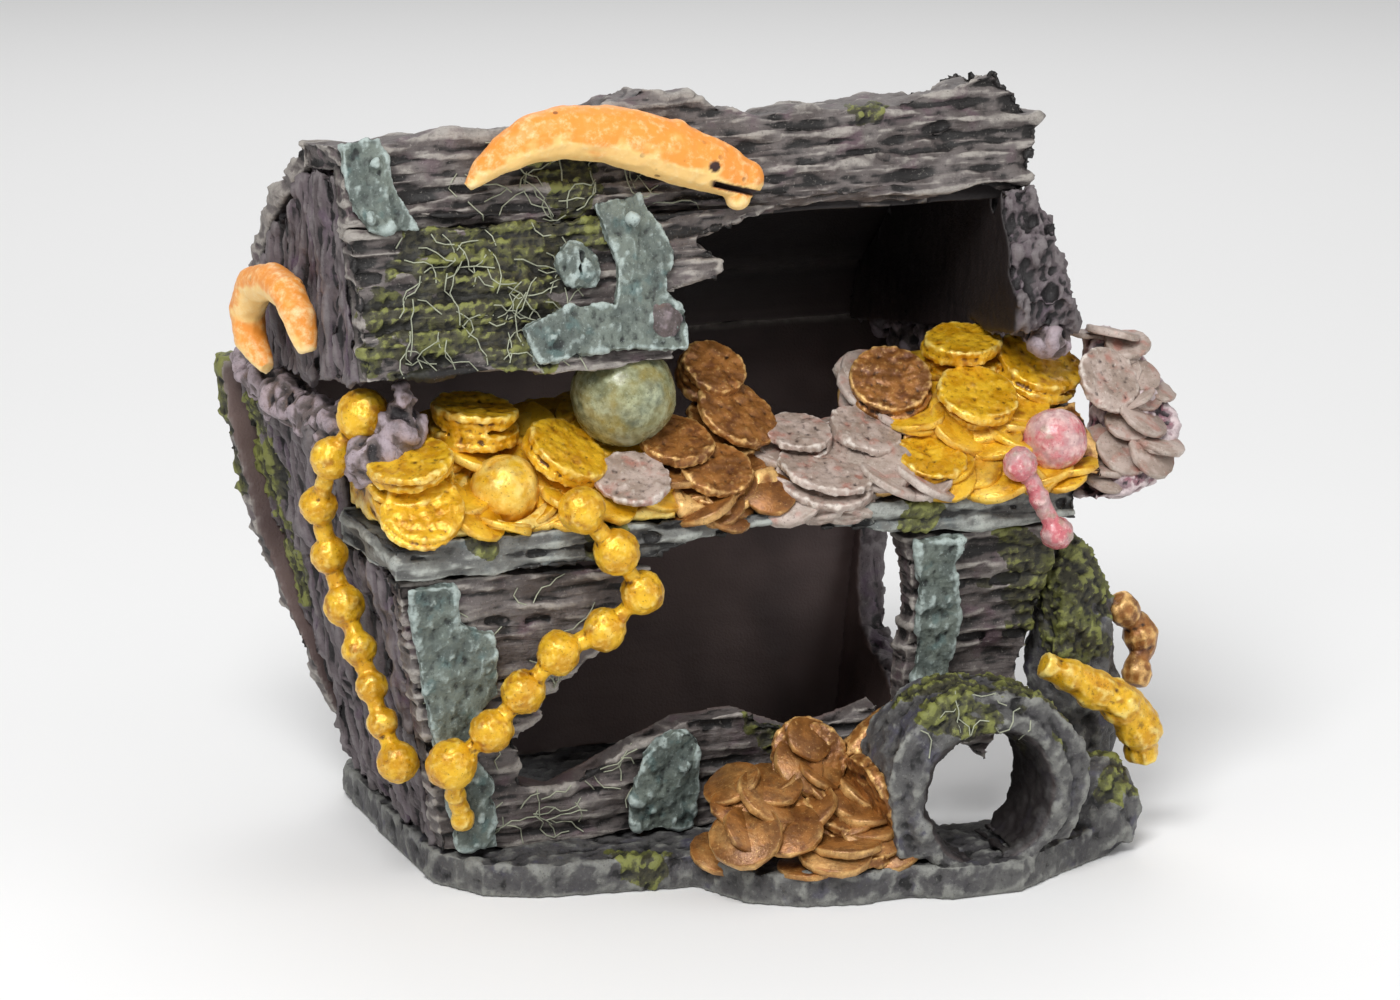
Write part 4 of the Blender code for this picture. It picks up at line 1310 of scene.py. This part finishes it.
@dataclass
class Cobwebs:
    """Pale threads of weed that cling to the moss and the lower boards.

    Attributes:
        patches: For each patch the piece it clings to, the middle and half sizes of its X and Z, and its threads.
        thickness: A thread's radius, in millimetres.
    """

    patches: dict = field(default_factory=lambda: {
        "lid_threads": ("lid_front_panel_boards", -46, 17, 108, 12, 60),
        "beam_threads": ("lid_top_beam_boards", -30, 20, 127, 5, 26),
        "front_threads": ("front_wall_left_boards", -30, 16, 20, 10, 34),
        "corner_threads": ("front_wall_left_boards", -44, 12, 42, 14, 16),
        "tunnel_threads": ("tunnel_arch_stone", 36, 14, 32, 5, 16),
    })  # fmt: skip
    thickness: float = 0.13

    def build(self, paints: Paints) -> None:
        """Builds and dresses each patch.

        Args:
            paints: The shelf of finishes.
        """
        thread = Moulded("pale_weed", paint(168, 172, 150), 0.8)
        for name, (piece, x, half_x, z, half_z, count) in self.patches.items():
            tree = surface(bpy.data.objects[piece].data)
            draw = random.Random(name)
            curve = bpy.data.curves.new(name, "CURVE")
            curve.dimensions = "3D"
            curve.bevel_depth = self.thickness * MM
            curve.bevel_resolution = 0
            for _ in range(count):
                start = (x + draw.uniform(-half_x, half_x), z + draw.uniform(-half_z, half_z))
                self._thread(curve, tree, start, draw)
            hold(link(name, curve))
            bpy.ops.object.convert(target="MESH")
            mount(paints.coat(name_piece(name), thread), slot="weathered_wood")

    @staticmethod
    def _thread(curve: bpy.types.Curve, tree: BVHTree, start: tuple[float, float], draw: random.Random) -> None:
        """Lays one thread over a surface that faces the front.

        Args:
            curve: The curve that takes it.
            tree: The surface.
            start: Its first X and Z, in millimetres.
            draw: What its course is drawn from.
        """
        x, z = start
        course = draw.uniform(0, 6.3)
        points = []
        for _ in range(draw.randint(4, 8)):
            hit = tree.ray_cast(Vector((x, -200, z)) * MM, Vector((0, 1, 0)))[0]
            if hit is not None:
                points.append(hit + Vector((0, draw.uniform(-0.7, 0.0), 0)) * MM)
            course += draw.uniform(-0.9, 0.9)
            x += 1.6 * math.cos(course)
            z += 1.6 * math.sin(course)
        if len(points) > 2 and max((a - b).length for a, b in zip(points, points[1:])) < 5 * MM:
            line = curve.splines.new("POLY")
            line.points.add(len(points) - 1)
            for point, place in zip(line.points, points):
                point.co = (*place, 1)


# ---------------------------------------------------------------- Treasure


@dataclass
class CoinPress:
    """Strikes coins: one is modelled once, and each coin in the hoard is a copy of it.

    Attributes:
        sides: The sides of a coin.
        thickness: A coin's thickness, as a share of its radius.
        worn: Whether the coin is worn down to its rim, as the loose ones are.
        blank: The coin that was struck, once there is one.
    """

    # The rings from the rim inwards: each one's width, and how far it rises, as shares of the radius.
    WORN_STEPS = ((0.14, -0.05), (0.4, 0.05))
    STRUCK_STEPS = ((0.14, -0.05), (0.12, 0.04), (0.1, -0.05), (0.1, 0.07), (0.2, -0.03), (0.12, 0.05))

    sides: int = 24
    thickness: float = 0.22
    worn: bool = False
    blank: Optional[bpy.types.Mesh] = None

    def strike(self) -> bpy.types.Mesh:
        """Models the coin, of radius 1 about the origin, with a rim, two rings and a boss on both faces."""
        clear_selection()
        bpy.ops.mesh.primitive_cylinder_add(vertices=self.sides, radius=1, depth=self.thickness, end_fill_type="NGON")
        coin = bpy.context.object
        bpy.ops.object.mode_set(mode="EDIT")
        for side in (1, -1):
            self._face(coin, lambda f, s=side: f.normal.z * s > 0.9)
            for width, height in self.WORN_STEPS if self.worn else self.STRUCK_STEPS:
                bpy.ops.mesh.inset(thickness=width)
                self._shift(height * side)
            if not self.worn:
                bpy.ops.mesh.poke()
        bpy.ops.object.mode_set(mode="OBJECT")
        bevel = coin.modifiers.new("Worn edge", "BEVEL")
        bevel.width = 0.035
        bevel.segments = 1 if self.worn else 2
        bevel.angle_limit = math.radians(50)
        apply_modifiers(coin)
        coin.data.shade_smooth()
        self.blank = coin.data.copy()
        bpy.data.objects.remove(coin)
        return self.blank

    @staticmethod
    def _face(coin: bpy.types.Object, rule: Callable) -> None:
        """Selects faces.

        Args:
            coin: The coin, in edit mode.
            rule: Says whether a face is selected.
        """
        drawn = bmesh.from_edit_mesh(coin.data)
        for face in drawn.faces:
            face.select = rule(face)
        drawn.select_flush_mode()
        bmesh.update_edit_mesh(coin.data)

    @staticmethod
    def _shift(height: float) -> None:
        """Moves what is selected up or down."""
        bpy.ops.transform.translate(value=(0, 0, height))

    def coin(self, centre: Vector, axis: Vector, radius: float, spin: float, thick: float = 1.0) -> bpy.types.Object:
        """Puts one coin down.

        Args:
            centre: Its middle, in metres.
            axis: The direction that its face looks in.
            radius: Its radius, in metres.
            spin: Its turn about that axis, in radians.
            thick: Its thickness against the blank's.

        Returns:
            The coin, with a mesh of its own.
        """
        mesh = (self.blank or self.strike()).copy()
        turn = axis.to_track_quat("Z", "Y").to_matrix().to_4x4() @ Matrix.Rotation(spin, 4, "Z")
        size = Matrix.Diagonal((radius, radius, radius * thick, 1))
        mesh.transform(Matrix.Translation(centre) @ turn @ size)
        return link("coin", mesh)


def node_pose(node: str) -> tuple[Vector, Vector, float, float]:
    """Where a coin's CAD node lies.

    Args:
        node: The CAD node.

    Returns:
        Its middle, the upward axis of its flat faces, its radius and its thickness, in metres.
    """
    mesh = FRAME["nodes"][node].data
    mesh.calc_loop_triangles()
    share: dict[tuple, float] = {}
    for triangle in mesh.loop_triangles:
        normal = triangle.normal if triangle.normal.z >= 0 else -triangle.normal
        key = tuple(round(c, 2) for c in normal)
        share[key] = share.get(key, 0.0) + triangle.area
    axis = Vector(max(share, key=share.get)).normalized()
    points = [v.co for v in mesh.vertices]
    heights = [p.dot(axis) for p in points]
    side = axis.orthogonal().normalized()
    other = axis.cross(side)
    across, along = [p.dot(side) for p in points], [p.dot(other) for p in points]
    middle = (
        side * (max(across) + min(across)) / 2
        + other * (max(along) + min(along)) / 2
        + axis * (max(heights) + min(heights)) / 2
    )
    radius = max(max(across) - min(across), max(along) - min(along)) / 2
    return middle, axis, radius, max(heights) - min(heights)


@dataclass
class Hoard:
    """The coins in their stacks, the loose coins bedded among them, the pearls, gems and nuggets.

    Attributes:
        press: What strikes the coins in the stacks.
        worn_press: What strikes the loose coins.
        stacks: The coin nodes of each paint.
        seed: What the loose coins' places are drawn from.
    """

    press: CoinPress = field(default_factory=CoinPress)
    worn_press: CoinPress = field(default_factory=lambda: CoinPress(sides=16, worn=True))
    seed: int = 11
    stacks: dict = field(default_factory=lambda: {
        GOLD: ["coin_left_front", "coin_left_middle", "coin_left_back", "coin_left_tilted", "coin_gold_back",
               "coin_gold_right", "coin_gold_middle", "coin_gold_low"],
        COPPER: ["coin_brown_top", "coin_brown_middle", "coin_brown_left", "coin_brown_low", "coin_bronze_tilted",
                 "medal_copper", "copper_coin_left", "copper_coin_middle", "copper_coin_front", "copper_coin_edge"],
        SILVER: ["coin_pale_left", "coin_pale_centre", "coin_pale_right", "coin_pale_front", "coin_pale_ring"],
    })  # fmt: skip

    def build(self, paints: Paints) -> None:
        """Builds and dresses the whole hoard.

        Args:
            paints: The shelf of finishes.
        """
        for finish, nodes in self.stacks.items():
            for node in nodes:
                self._stack(node, finish, paints)
        self._banks(paints)
        self._scatter(paints)
        self._pearls(paints)
        self._lumps(paints)

    @staticmethod
    def _worn(piece: bpy.types.Object, finish: CastPaint, paints: Paints) -> bpy.types.Object:
        """Softens, roughens and paints struck metal.

        Args:
            piece: The piece.
            finish: Its paint.
            paints: The shelf of finishes.

        Returns:
            The same piece.
        """
        remesh(piece, 0.36)
        carve(piece, [
            Carving((3.6, 3.6, 3.6), 0.35 * 2.4),
            Carving((1.6, 1.6, 1.6), 0.35 * 1.4, Pattern.LUMPS, shift=0.4),
            Carving((0.9, 0.9, 0.9), 0.35 * 0.8, shift=0.2),
        ])  # fmt: skip
        piece.data.shade_smooth()
        write_relief(piece, 5)
        return paints.coat(piece, finish)

    def _stack(self, node: str, finish: CastPaint, paints: Paints) -> None:
        """Strikes the coins of one CAD stack, each a little askew.

        Args:
            node: The CAD node of the stack.
            finish: Its paint.
            paints: The shelf of finishes.
        """
        middle, axis, radius, thickness = node_pose(node)
        draw = random.Random(node)
        count = max(1, round(thickness / (1.55 * MM)))
        coins = []
        for i in range(count):
            height = ((i + 0.5) / count - 0.5) * thickness
            askew = Vector([draw.uniform(-1, 1) * MM for _ in range(3)]) * (i < count - 1)
            tip = Vector([draw.uniform(-0.09, 0.09) for _ in range(3)])
            thick = thickness / count / (radius * self.press.thickness) * 0.96
            coins.append(self.press.coin(middle + axis * height + askew, (axis + tip).normalized(), radius * 0.985,
                                         draw.uniform(0, 6.3), thick))  # fmt: skip
        slots = {GOLD: "gold_paint", COPPER: "copper_paint", SILVER: "pale_coin_paint"}
        piece = self._worn(join(coins, node + "_struck"), finish, paints)
        mount(piece, node, slot=slots[finish])

    def _banks(self, paints: Paints) -> None:
        """The banks under the coins, lumpy and painted as the coins are.

        Args:
            paints: The shelf of finishes.
        """
        for node, finish in (("hoard_left", GOLD), ("hoard_right", COPPER)):
            piece = remesh(cast_of(node, node + "_bank"), 0.8)
            carve(piece, [Carving((6, 6, 6), 2.2), Carving((2.6, 2.6, 2.6), 1.2, middle=0.7)])
            write_relief(piece)
            mount(paints.coat(piece, finish), node, slot="sea_rock")

    def _spill(self, nodes: Sequence[str], x_range: tuple, y_range: tuple, count: int, size: tuple,
               seed: int) -> list[tuple[float, bpy.types.Object]]:  # fmt: skip
        """Drops worn coins onto CAD nodes, each lying much as the surface under it does.

        Args:
            nodes: The CAD nodes that the coins land on.
            x_range: The least and greatest X of a coin, in millimetres.
            y_range: The least and greatest Y.
            count: How many are dropped.
            size: The least and greatest radius.
            seed: What their places are drawn from.

        Returns:
            The X of each coin, in millimetres, and the coin.
        """
        draw = random.Random(seed)
        trees = [surface(FRAME["nodes"][node].data) for node in nodes]
        coins = []
        for _ in range(count):
            x = draw.uniform(*x_range)
            above = Vector((x, draw.uniform(*y_range), 140)) * MM
            found = [hit for hit in (tree.ray_cast(above, Vector((0, 0, -1))) for tree in trees) if hit[0] is not None]
            tilt = Vector((draw.uniform(-0.45, 0.45), draw.uniform(-0.6, 0.1), 0))
            sink, radius, spin = draw.uniform(-0.8, 0.7) * MM, draw.uniform(*size) * MM, draw.uniform(0, 6.3)
            if found:
                place, normal = max(found, key=lambda hit: hit[0].z)[:2]
                axis = (Vector((0, 0, 0.6)) + normal * 0.4 + tilt).normalized()
                coins.append((x, self.worn_press.coin(place + Vector((0, 0, sink)), axis, radius, spin, 1.1)))
        return coins

    def _scatter(self, paints: Paints) -> None:
        """Loose coins: gold on both ends of the ledge, copper and pale between, pale by the gems, copper below.

        Args:
            paints: The shelf of finishes.
        """
        heaps: dict = {GOLD: [], COPPER: [], SILVER: []}
        for x, coin in self._spill(("hoard_left", "hoard_right"), (-64, 70), (-46, -17), 210, (4.6, 7.0), self.seed):
            if x < -14 or x > 38:
                heaps[GOLD].append(coin)
            else:
                heaps[COPPER if x < 8 else SILVER].append(coin)
        heaps[SILVER] += [coin for _, coin in self._spill(("gem_cluster",), (70, 88), (-45, -24), 24, (3.4, 5.4), 5)]
        base = ("base_slab", "copper_coin_left", "copper_coin_middle", "copper_coin_front", "medal_copper")
        heaps[COPPER] += [coin for _, coin in self._spill(base, (-8, 23), (-64, -49), 34, (4.0, 7.0), 8)]
        slots = ("gold_paint", "copper_paint", "pale_coin_paint")
        for (finish, coins), slot in zip(heaps.items(), slots):
            piece = join(coins, "loose_" + slot.removesuffix("_paint"))
            carve(piece, [Carving((3.2, 3.2, 3.2), 0.9), Carving((1.4, 1.4, 1.4), 0.5, shift=0.3)])
            write_relief(piece, 1, 0.45)
            mount(paints.coat(piece, finish), slot=slot)

    def _pearls(self, paints: Paints) -> None:
        """The round pearls, each a little dimpled.

        Args:
            paints: The shelf of finishes.
        """
        finishes = {"pearl_green": GREEN_PEARL, "pearl_gold": GOLD, "pearl_pink": PINK}
        slots = {"pearl_green": "green_pearl_paint", "pearl_gold": "gold_paint", "pearl_pink": "pink_pearl_paint"}
        for node, finish in finishes.items():
            low, high = (Vector(corner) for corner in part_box(node))
            radius = (high.x - low.x) / 2
            middle = Vector(((high.x + low.x) / 2, (high.y + low.y) / 2, high.z - radius))
            clear_selection()
            bpy.ops.mesh.primitive_ico_sphere_add(subdivisions=5, radius=radius * 0.985, location=middle)
            pearl = settle(name_piece(node + "_polished"))
            carve(pearl, [Carving((5, 5, 5), 0.7), Carving((1.6, 1.6, 1.6), 0.25)])
            pearl.data.shade_smooth()
            write_relief(pearl)
            mount(paints.coat(pearl, finish), node, slot=slots[node])

    def _lumps(self, paints: Paints) -> None:
        """The gem cluster, the nuggets, the dark beads and the horn.

        Args:
            paints: The shelf of finishes.
        """
        works = [
            ("gem_cluster", GEM, 0.5, [Carving((6, 6, 6), 4.4), Carving((2.4, 2.4, 2.4), 1.2)]),
            ("gold_nuggets", GOLD, 0.4, [Carving((5, 5, 5), 1.6), Carving((2, 2, 2), 0.4, shift=0.3)]),
            ("dark_beads", COPPER, 0.4, [Carving((4, 4, 4), 0.7), Carving((1.6, 1.6, 1.6), 0.2)]),
            ("copper_horn", COPPER, 0.4, [Carving((2.0, 5, 5), 0.8), Carving((1.2, 1.2, 1.2), 0.3)]),
        ]
        slots = {"gem_cluster": "amethyst_paint", "gold_nuggets": "gold_paint"}
        for node, finish, voxel, layers in works:
            piece = carve(remesh(cast_of(node, node + "_cast"), voxel), layers)
            write_relief(piece)
            mount(paints.coat(piece, finish), node, slot=slots.get(node, "copper_paint"))


@dataclass
class BeadStrings:
    """The two gold bead strings and the pink one.

    Attributes:
        front: The beads of the front string, each x, y, z and radius in millimetres.
        side: The beads of the string down the left end.
        pink: The beads of the pink drop.
    """

    front: Sequence[tuple] = (
        (-33, -51.5, 73.6, 4.0), (-26.3, -51, 65.3, 4.0), (-21, -49.8, 57, 3.8), (-27.6, -48.2, 50.4, 3.7),
        (-35.9, -47, 46.6, 3.8), (-42.2, -45.5, 39.6, 3.8), (-47.8, -44.2, 32.6, 3.8), (-54.8, -42.5, 26.6, 4.4),
        (-53.3, -39.9, 20, 1.9), (-51.4, -38, 14.6, 2.1),
    )  # fmt: skip
    side: Sequence[tuple] = (
        (-66.4, -30, 88.9, 4.6), (-71.6, -27, 81, 3.6), (-72.4, -21, 71, 3.3), (-70.2, -20, 61.4, 3.3),
        (-68.2, -22, 52.4, 3.6), (-66.4, -25, 44.8, 3.0), (-64.9, -27, 38, 2.8), (-63.5, -29, 31.6, 2.8),
        (-61.6, -32, 24.8, 3.6),
    )  # fmt: skip
    pink: Sequence[tuple] = ((52.6, -50.8, 74.8, 3.0), (56.4, -51.2, 68.2, 1.9), (59.9, -51.5, 61.3, 2.9))

    def build(self, paints: Paints) -> None:
        """Builds and dresses each string.

        Args:
            paints: The shelf of finishes.
        """
        for beads, node, finish, slot in (
            (self.front, "bead_string_front", GOLD, "gold_paint"),
            (self.side, "bead_string_side", GOLD, "gold_paint"),
            (self.pink, "pink_bead_drop", PINK, "pink_pearl_paint"),
        ):
            parts = [self._cord(beads, node)] + [self._bead(bead, i) for i, bead in enumerate(beads)]
            piece = remesh(join(parts, node + "_beads"), 0.38)
            carve(piece, [Carving((2.6, 2.6, 2.6), 0.8), Carving((1.2, 1.2, 1.2), 0.35)])
            write_relief(piece, 6)
            mount(paints.coat(piece, finish), node, slot=slot)

    @staticmethod
    def _bead(bead: tuple, number: int) -> bpy.types.Object:
        """One bead, a little flattened.

        Args:
            bead: Its place and radius, in millimetres.
            number: Its number along the string, which turns it.

        Returns:
            The bead.
        """
        x, y, z, radius = bead
        clear_selection()
        bpy.ops.mesh.primitive_uv_sphere_add(
            segments=18, ring_count=12, radius=1.09 * radius * MM,
            location=Vector((x, y, z)) * MM, rotation=(1.2, 0.4 * number, 0.2),
        )  # fmt: skip
        pearl = bpy.context.object
        pearl.scale = (1.0, 1.0, 0.93)
        return settle(pearl)

    @staticmethod
    def _cord(beads: Sequence[tuple], node: str) -> bpy.types.Object:
        """The cast cord between the beads.

        Args:
            beads: The beads that it runs through.
            node: The CAD node of the string.

        Returns:
            The cord.
        """
        curve = bpy.data.curves.new(node + "_cord", "CURVE")
        curve.dimensions = "3D"
        curve.bevel_depth = 1.7 * MM
        curve.use_fill_caps = True
        line = curve.splines.new("POLY")
        line.points.add(len(beads) - 1)
        for point, bead in zip(line.points, beads):
            point.co = (bead[0] * MM, bead[1] * MM, bead[2] * MM, 1)
        hold(link(node + "_cord", curve))
        bpy.ops.object.convert(target="MESH")
        return bpy.context.object


@dataclass
class Eel:
    """The eel: its head half along the lid's top edge, and its tail half arching out of the lid's left end.

    Attributes:
        lumps: The balls that shape its snout, jaw and eye, each x, y, z and radius in millimetres.
        eye: The middle of its eye.
        mouth: The middle of its mouth.
        mouth_slope: The mouth's turn about Y, in degrees.
    """

    lumps: Sequence[tuple] = (
        (4.6, -35.2, 128.2, 3.4), (2.6, -36, 124.9, 2.3), (-3.2, -39.6, 131.6, 1.2), (-9, -34.6, 136.2, 3.4),
        (-26, -34.2, 140.2, 3.0),
    )  # fmt: skip
    eye: Triple = (-3.4, -40.2, 131.6)
    mouth: Triple = (2.2, -38.5, 126.7)
    mouth_slope: float = 16.0

    def build(self, paints: Paints) -> None:
        """Builds and dresses both halves.

        Args:
            paints: The shelf of finishes.
        """
        parts = [cast_of("eel_head", "eel_head_skin")] + [ball(lump[:3], lump[3], 16, 10) for lump in self.lumps]
        head = remesh(join(parts, "eel_head_skin"), 0.5)
        self._mouth(head)
        tail = remesh(cast_of("eel_tail", "eel_tail_skin"), 0.6)
        for piece, node in ((head, "eel_head"), (tail, "eel_tail")):
            soften = piece.modifiers.new("Soften", "SMOOTH")
            soften.factor = 0.5
            soften.iterations = 3
            apply_modifiers(piece)
            carve(piece, [Carving((9, 9, 9), 1.2), Carving((2.2, 2.2, 2.2), 0.4)])
            write_relief(piece)
            self._mark(piece)
            mount(paints.coat(piece, EelSkin()), node, slot="eel_paint")

    def _mouth(self, head: bpy.types.Object) -> None:
        """Cuts the open mouth into the head's end.

        Args:
            head: The head.
        """
        clear_selection()
        bpy.ops.mesh.primitive_cube_add(
            size=1, location=Vector(self.mouth) * MM, rotation=(0, math.radians(self.mouth_slope), 0)
        )
        slit = bpy.context.object
        slit.scale = Vector((11, 7, 1.1)) * MM
        cut(head, settle(slit))

    def _mark(self, piece: bpy.types.Object) -> None:
        """Marks the underside, the eye and the mouth.

        Args:
            piece: Half of the eel.
        """
        places, facing = positions(piece), normals(piece)
        write_mask(piece, "underside", smooth_step(-facing[:, 2], -0.3, 0.6))
        eye = np.linalg.norm(places - np.array(self.eye) * MM, axis=1)
        lips = np.abs((places[:, 2] / MM - self.mouth[2]) + (places[:, 0] / MM - self.mouth[0]) * 0.287)
        mouth = smooth_step(places[:, 0] / MM, -4.2, -3.2) * (1 - smooth_step(lips, 0.5, 0.8))
        write_mask(piece, "dark", np.maximum(1 - smooth_step(eye, 0.9 * MM, 1.2 * MM), mouth))


@dataclass
class AirLine:
    """The pipe through the back wall, its grommet, and the air stone that lifts off it."""

    def build(self, paints: Paints) -> None:
        """Dresses the fittings and works the stone's pitted surface.

        Args:
            paints: The shelf of finishes.
        """
        stone = remesh(cast_of("air_stone", "air_stone_grit"), 0.4)
        carve(stone, [Carving((1.4, 1.4, 1.4), 0.5, Pattern.CELLS)])
        write_relief(stone, 5)
        mount(paints.coat(stone, STONE_GRIT), "air_stone", slot="air_stone_grit", body=STONE_BODY)
        for node, finish, slot in (
            ("air_pipe", Moulded("clear_fitting_plastic", paint(214, 220, 216), 0.3), "air_fitting_plastic"),
            ("inlet_grommet", Moulded("black_grommet_rubber", paint(34, 34, 36), 0.65), "grommet_rubber"),
        ):
            piece = cast_of(node, node + "_moulded")
            bevel = piece.modifiers.new("Moulded edge", "BEVEL")
            bevel.width = 0.18 * MM
            bevel.segments = 2
            apply_modifiers(piece)
            hold(piece)
            bpy.ops.object.shade_smooth_by_angle(angle=math.radians(35))
            mount(paints.coat(piece, finish), node, slot=slot)


@dataclass
class Studio:
    """A pale floor, a soft key from the front left, a fill from the right, a rim light from behind and the camera.

    Attributes:
        azimuth: The camera's turn about Z, in degrees, to the left below 0.
        elevation: Its height above level, in degrees.
        distance: Its distance from the target, in millimetres.
        target: The place that it looks at.
        lens: Its focal length, in millimetres.
    """

    azimuth: float = -21.0
    elevation: float = 13.3
    distance: float = 900.0
    target: Triple = (9.2, 0.0, 60.5)
    lens: float = 121.5

    def build(self) -> None:
        """Sets up the stage, the lights and the camera."""
        clear_selection()
        bpy.ops.mesh.primitive_plane_add(size=6, location=(0, 0, -0.0002))
        floor = name_piece("floor")
        pale = Recipe("floor_paper")
        floor.data.materials.append(pale.finish(pale.mix(pale.noise(400.0), (0.86,) * 3, (0.88,) * 3), 0.9))
        for name, place, size, power in (
            ("key", (-0.5, -0.75, 0.95), 0.5, 13.0),
            ("fill", (0.9, -0.8, 0.5), 0.9, 3.0),
            ("rim", (0.3, 0.9, 0.9), 0.8, 4.0),
        ):
            light = bpy.data.lights.new(name, "AREA")
            light.energy = power
            light.size = size
            lamp = link(name, light)
            lamp.location = place
            aim = Vector((0, 0, 0.06)) - lamp.location
            lamp.rotation_euler = aim.to_track_quat("-Z", "Y").to_euler()
        world = bpy.data.worlds.new("studio")
        world.use_nodes = True
        world.node_tree.nodes["Background"].inputs["Color"].default_value = (1, 1, 1, 1)
        world.node_tree.nodes["Background"].inputs["Strength"].default_value = 0.42
        bpy.context.scene.world = world
        bpy.context.scene.view_settings.view_transform = "Standard"
        self._camera()

    def _camera(self) -> None:
        """Puts the camera at its distance, looking at the target."""
        turn, rise = math.radians(self.azimuth), math.radians(self.elevation)
        back = Vector((math.sin(turn) * math.cos(rise), -math.cos(turn) * math.cos(rise), math.sin(rise)))
        data = bpy.data.cameras.new("camera")
        data.lens = self.lens
        data.sensor_width = 36
        data.clip_start = 0.01
        camera = link("camera", data)
        camera.location = (Vector(self.target) + back * self.distance) * MM
        camera.rotation_euler = back.to_track_quat("Z", "Y").to_euler()
        bpy.context.scene.camera = camera


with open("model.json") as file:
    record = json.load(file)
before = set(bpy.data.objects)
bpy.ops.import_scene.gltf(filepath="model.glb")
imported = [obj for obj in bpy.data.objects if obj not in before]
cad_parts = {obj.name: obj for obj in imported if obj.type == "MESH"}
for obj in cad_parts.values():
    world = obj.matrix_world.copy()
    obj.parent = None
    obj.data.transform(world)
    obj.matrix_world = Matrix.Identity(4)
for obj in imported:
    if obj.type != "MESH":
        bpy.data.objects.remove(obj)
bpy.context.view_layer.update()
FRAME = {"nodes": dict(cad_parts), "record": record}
FRAME_SLOTS = {part["node"]: part["material_slot"] for part in FRAME["record"]["subparts"]}


def main() -> None:
    """Builds the stage and each sub-assembly in turn."""
    logging.basicConfig(level=logging.INFO, format="%(message)s")
    paints = Paints()
    Studio().build()
    assemblies = (
        Rocks(), ChestBody(), Lid(), Ironwork(), Rubble(), Cobwebs(), Hoard(), BeadStrings(), Eel(), AirLine(),
    )  # fmt: skip
    for assembly in assemblies:
        LOG.info("building %s", type(assembly).__name__)
        assembly.build(paints)


if __name__ == "__main__":
    main()
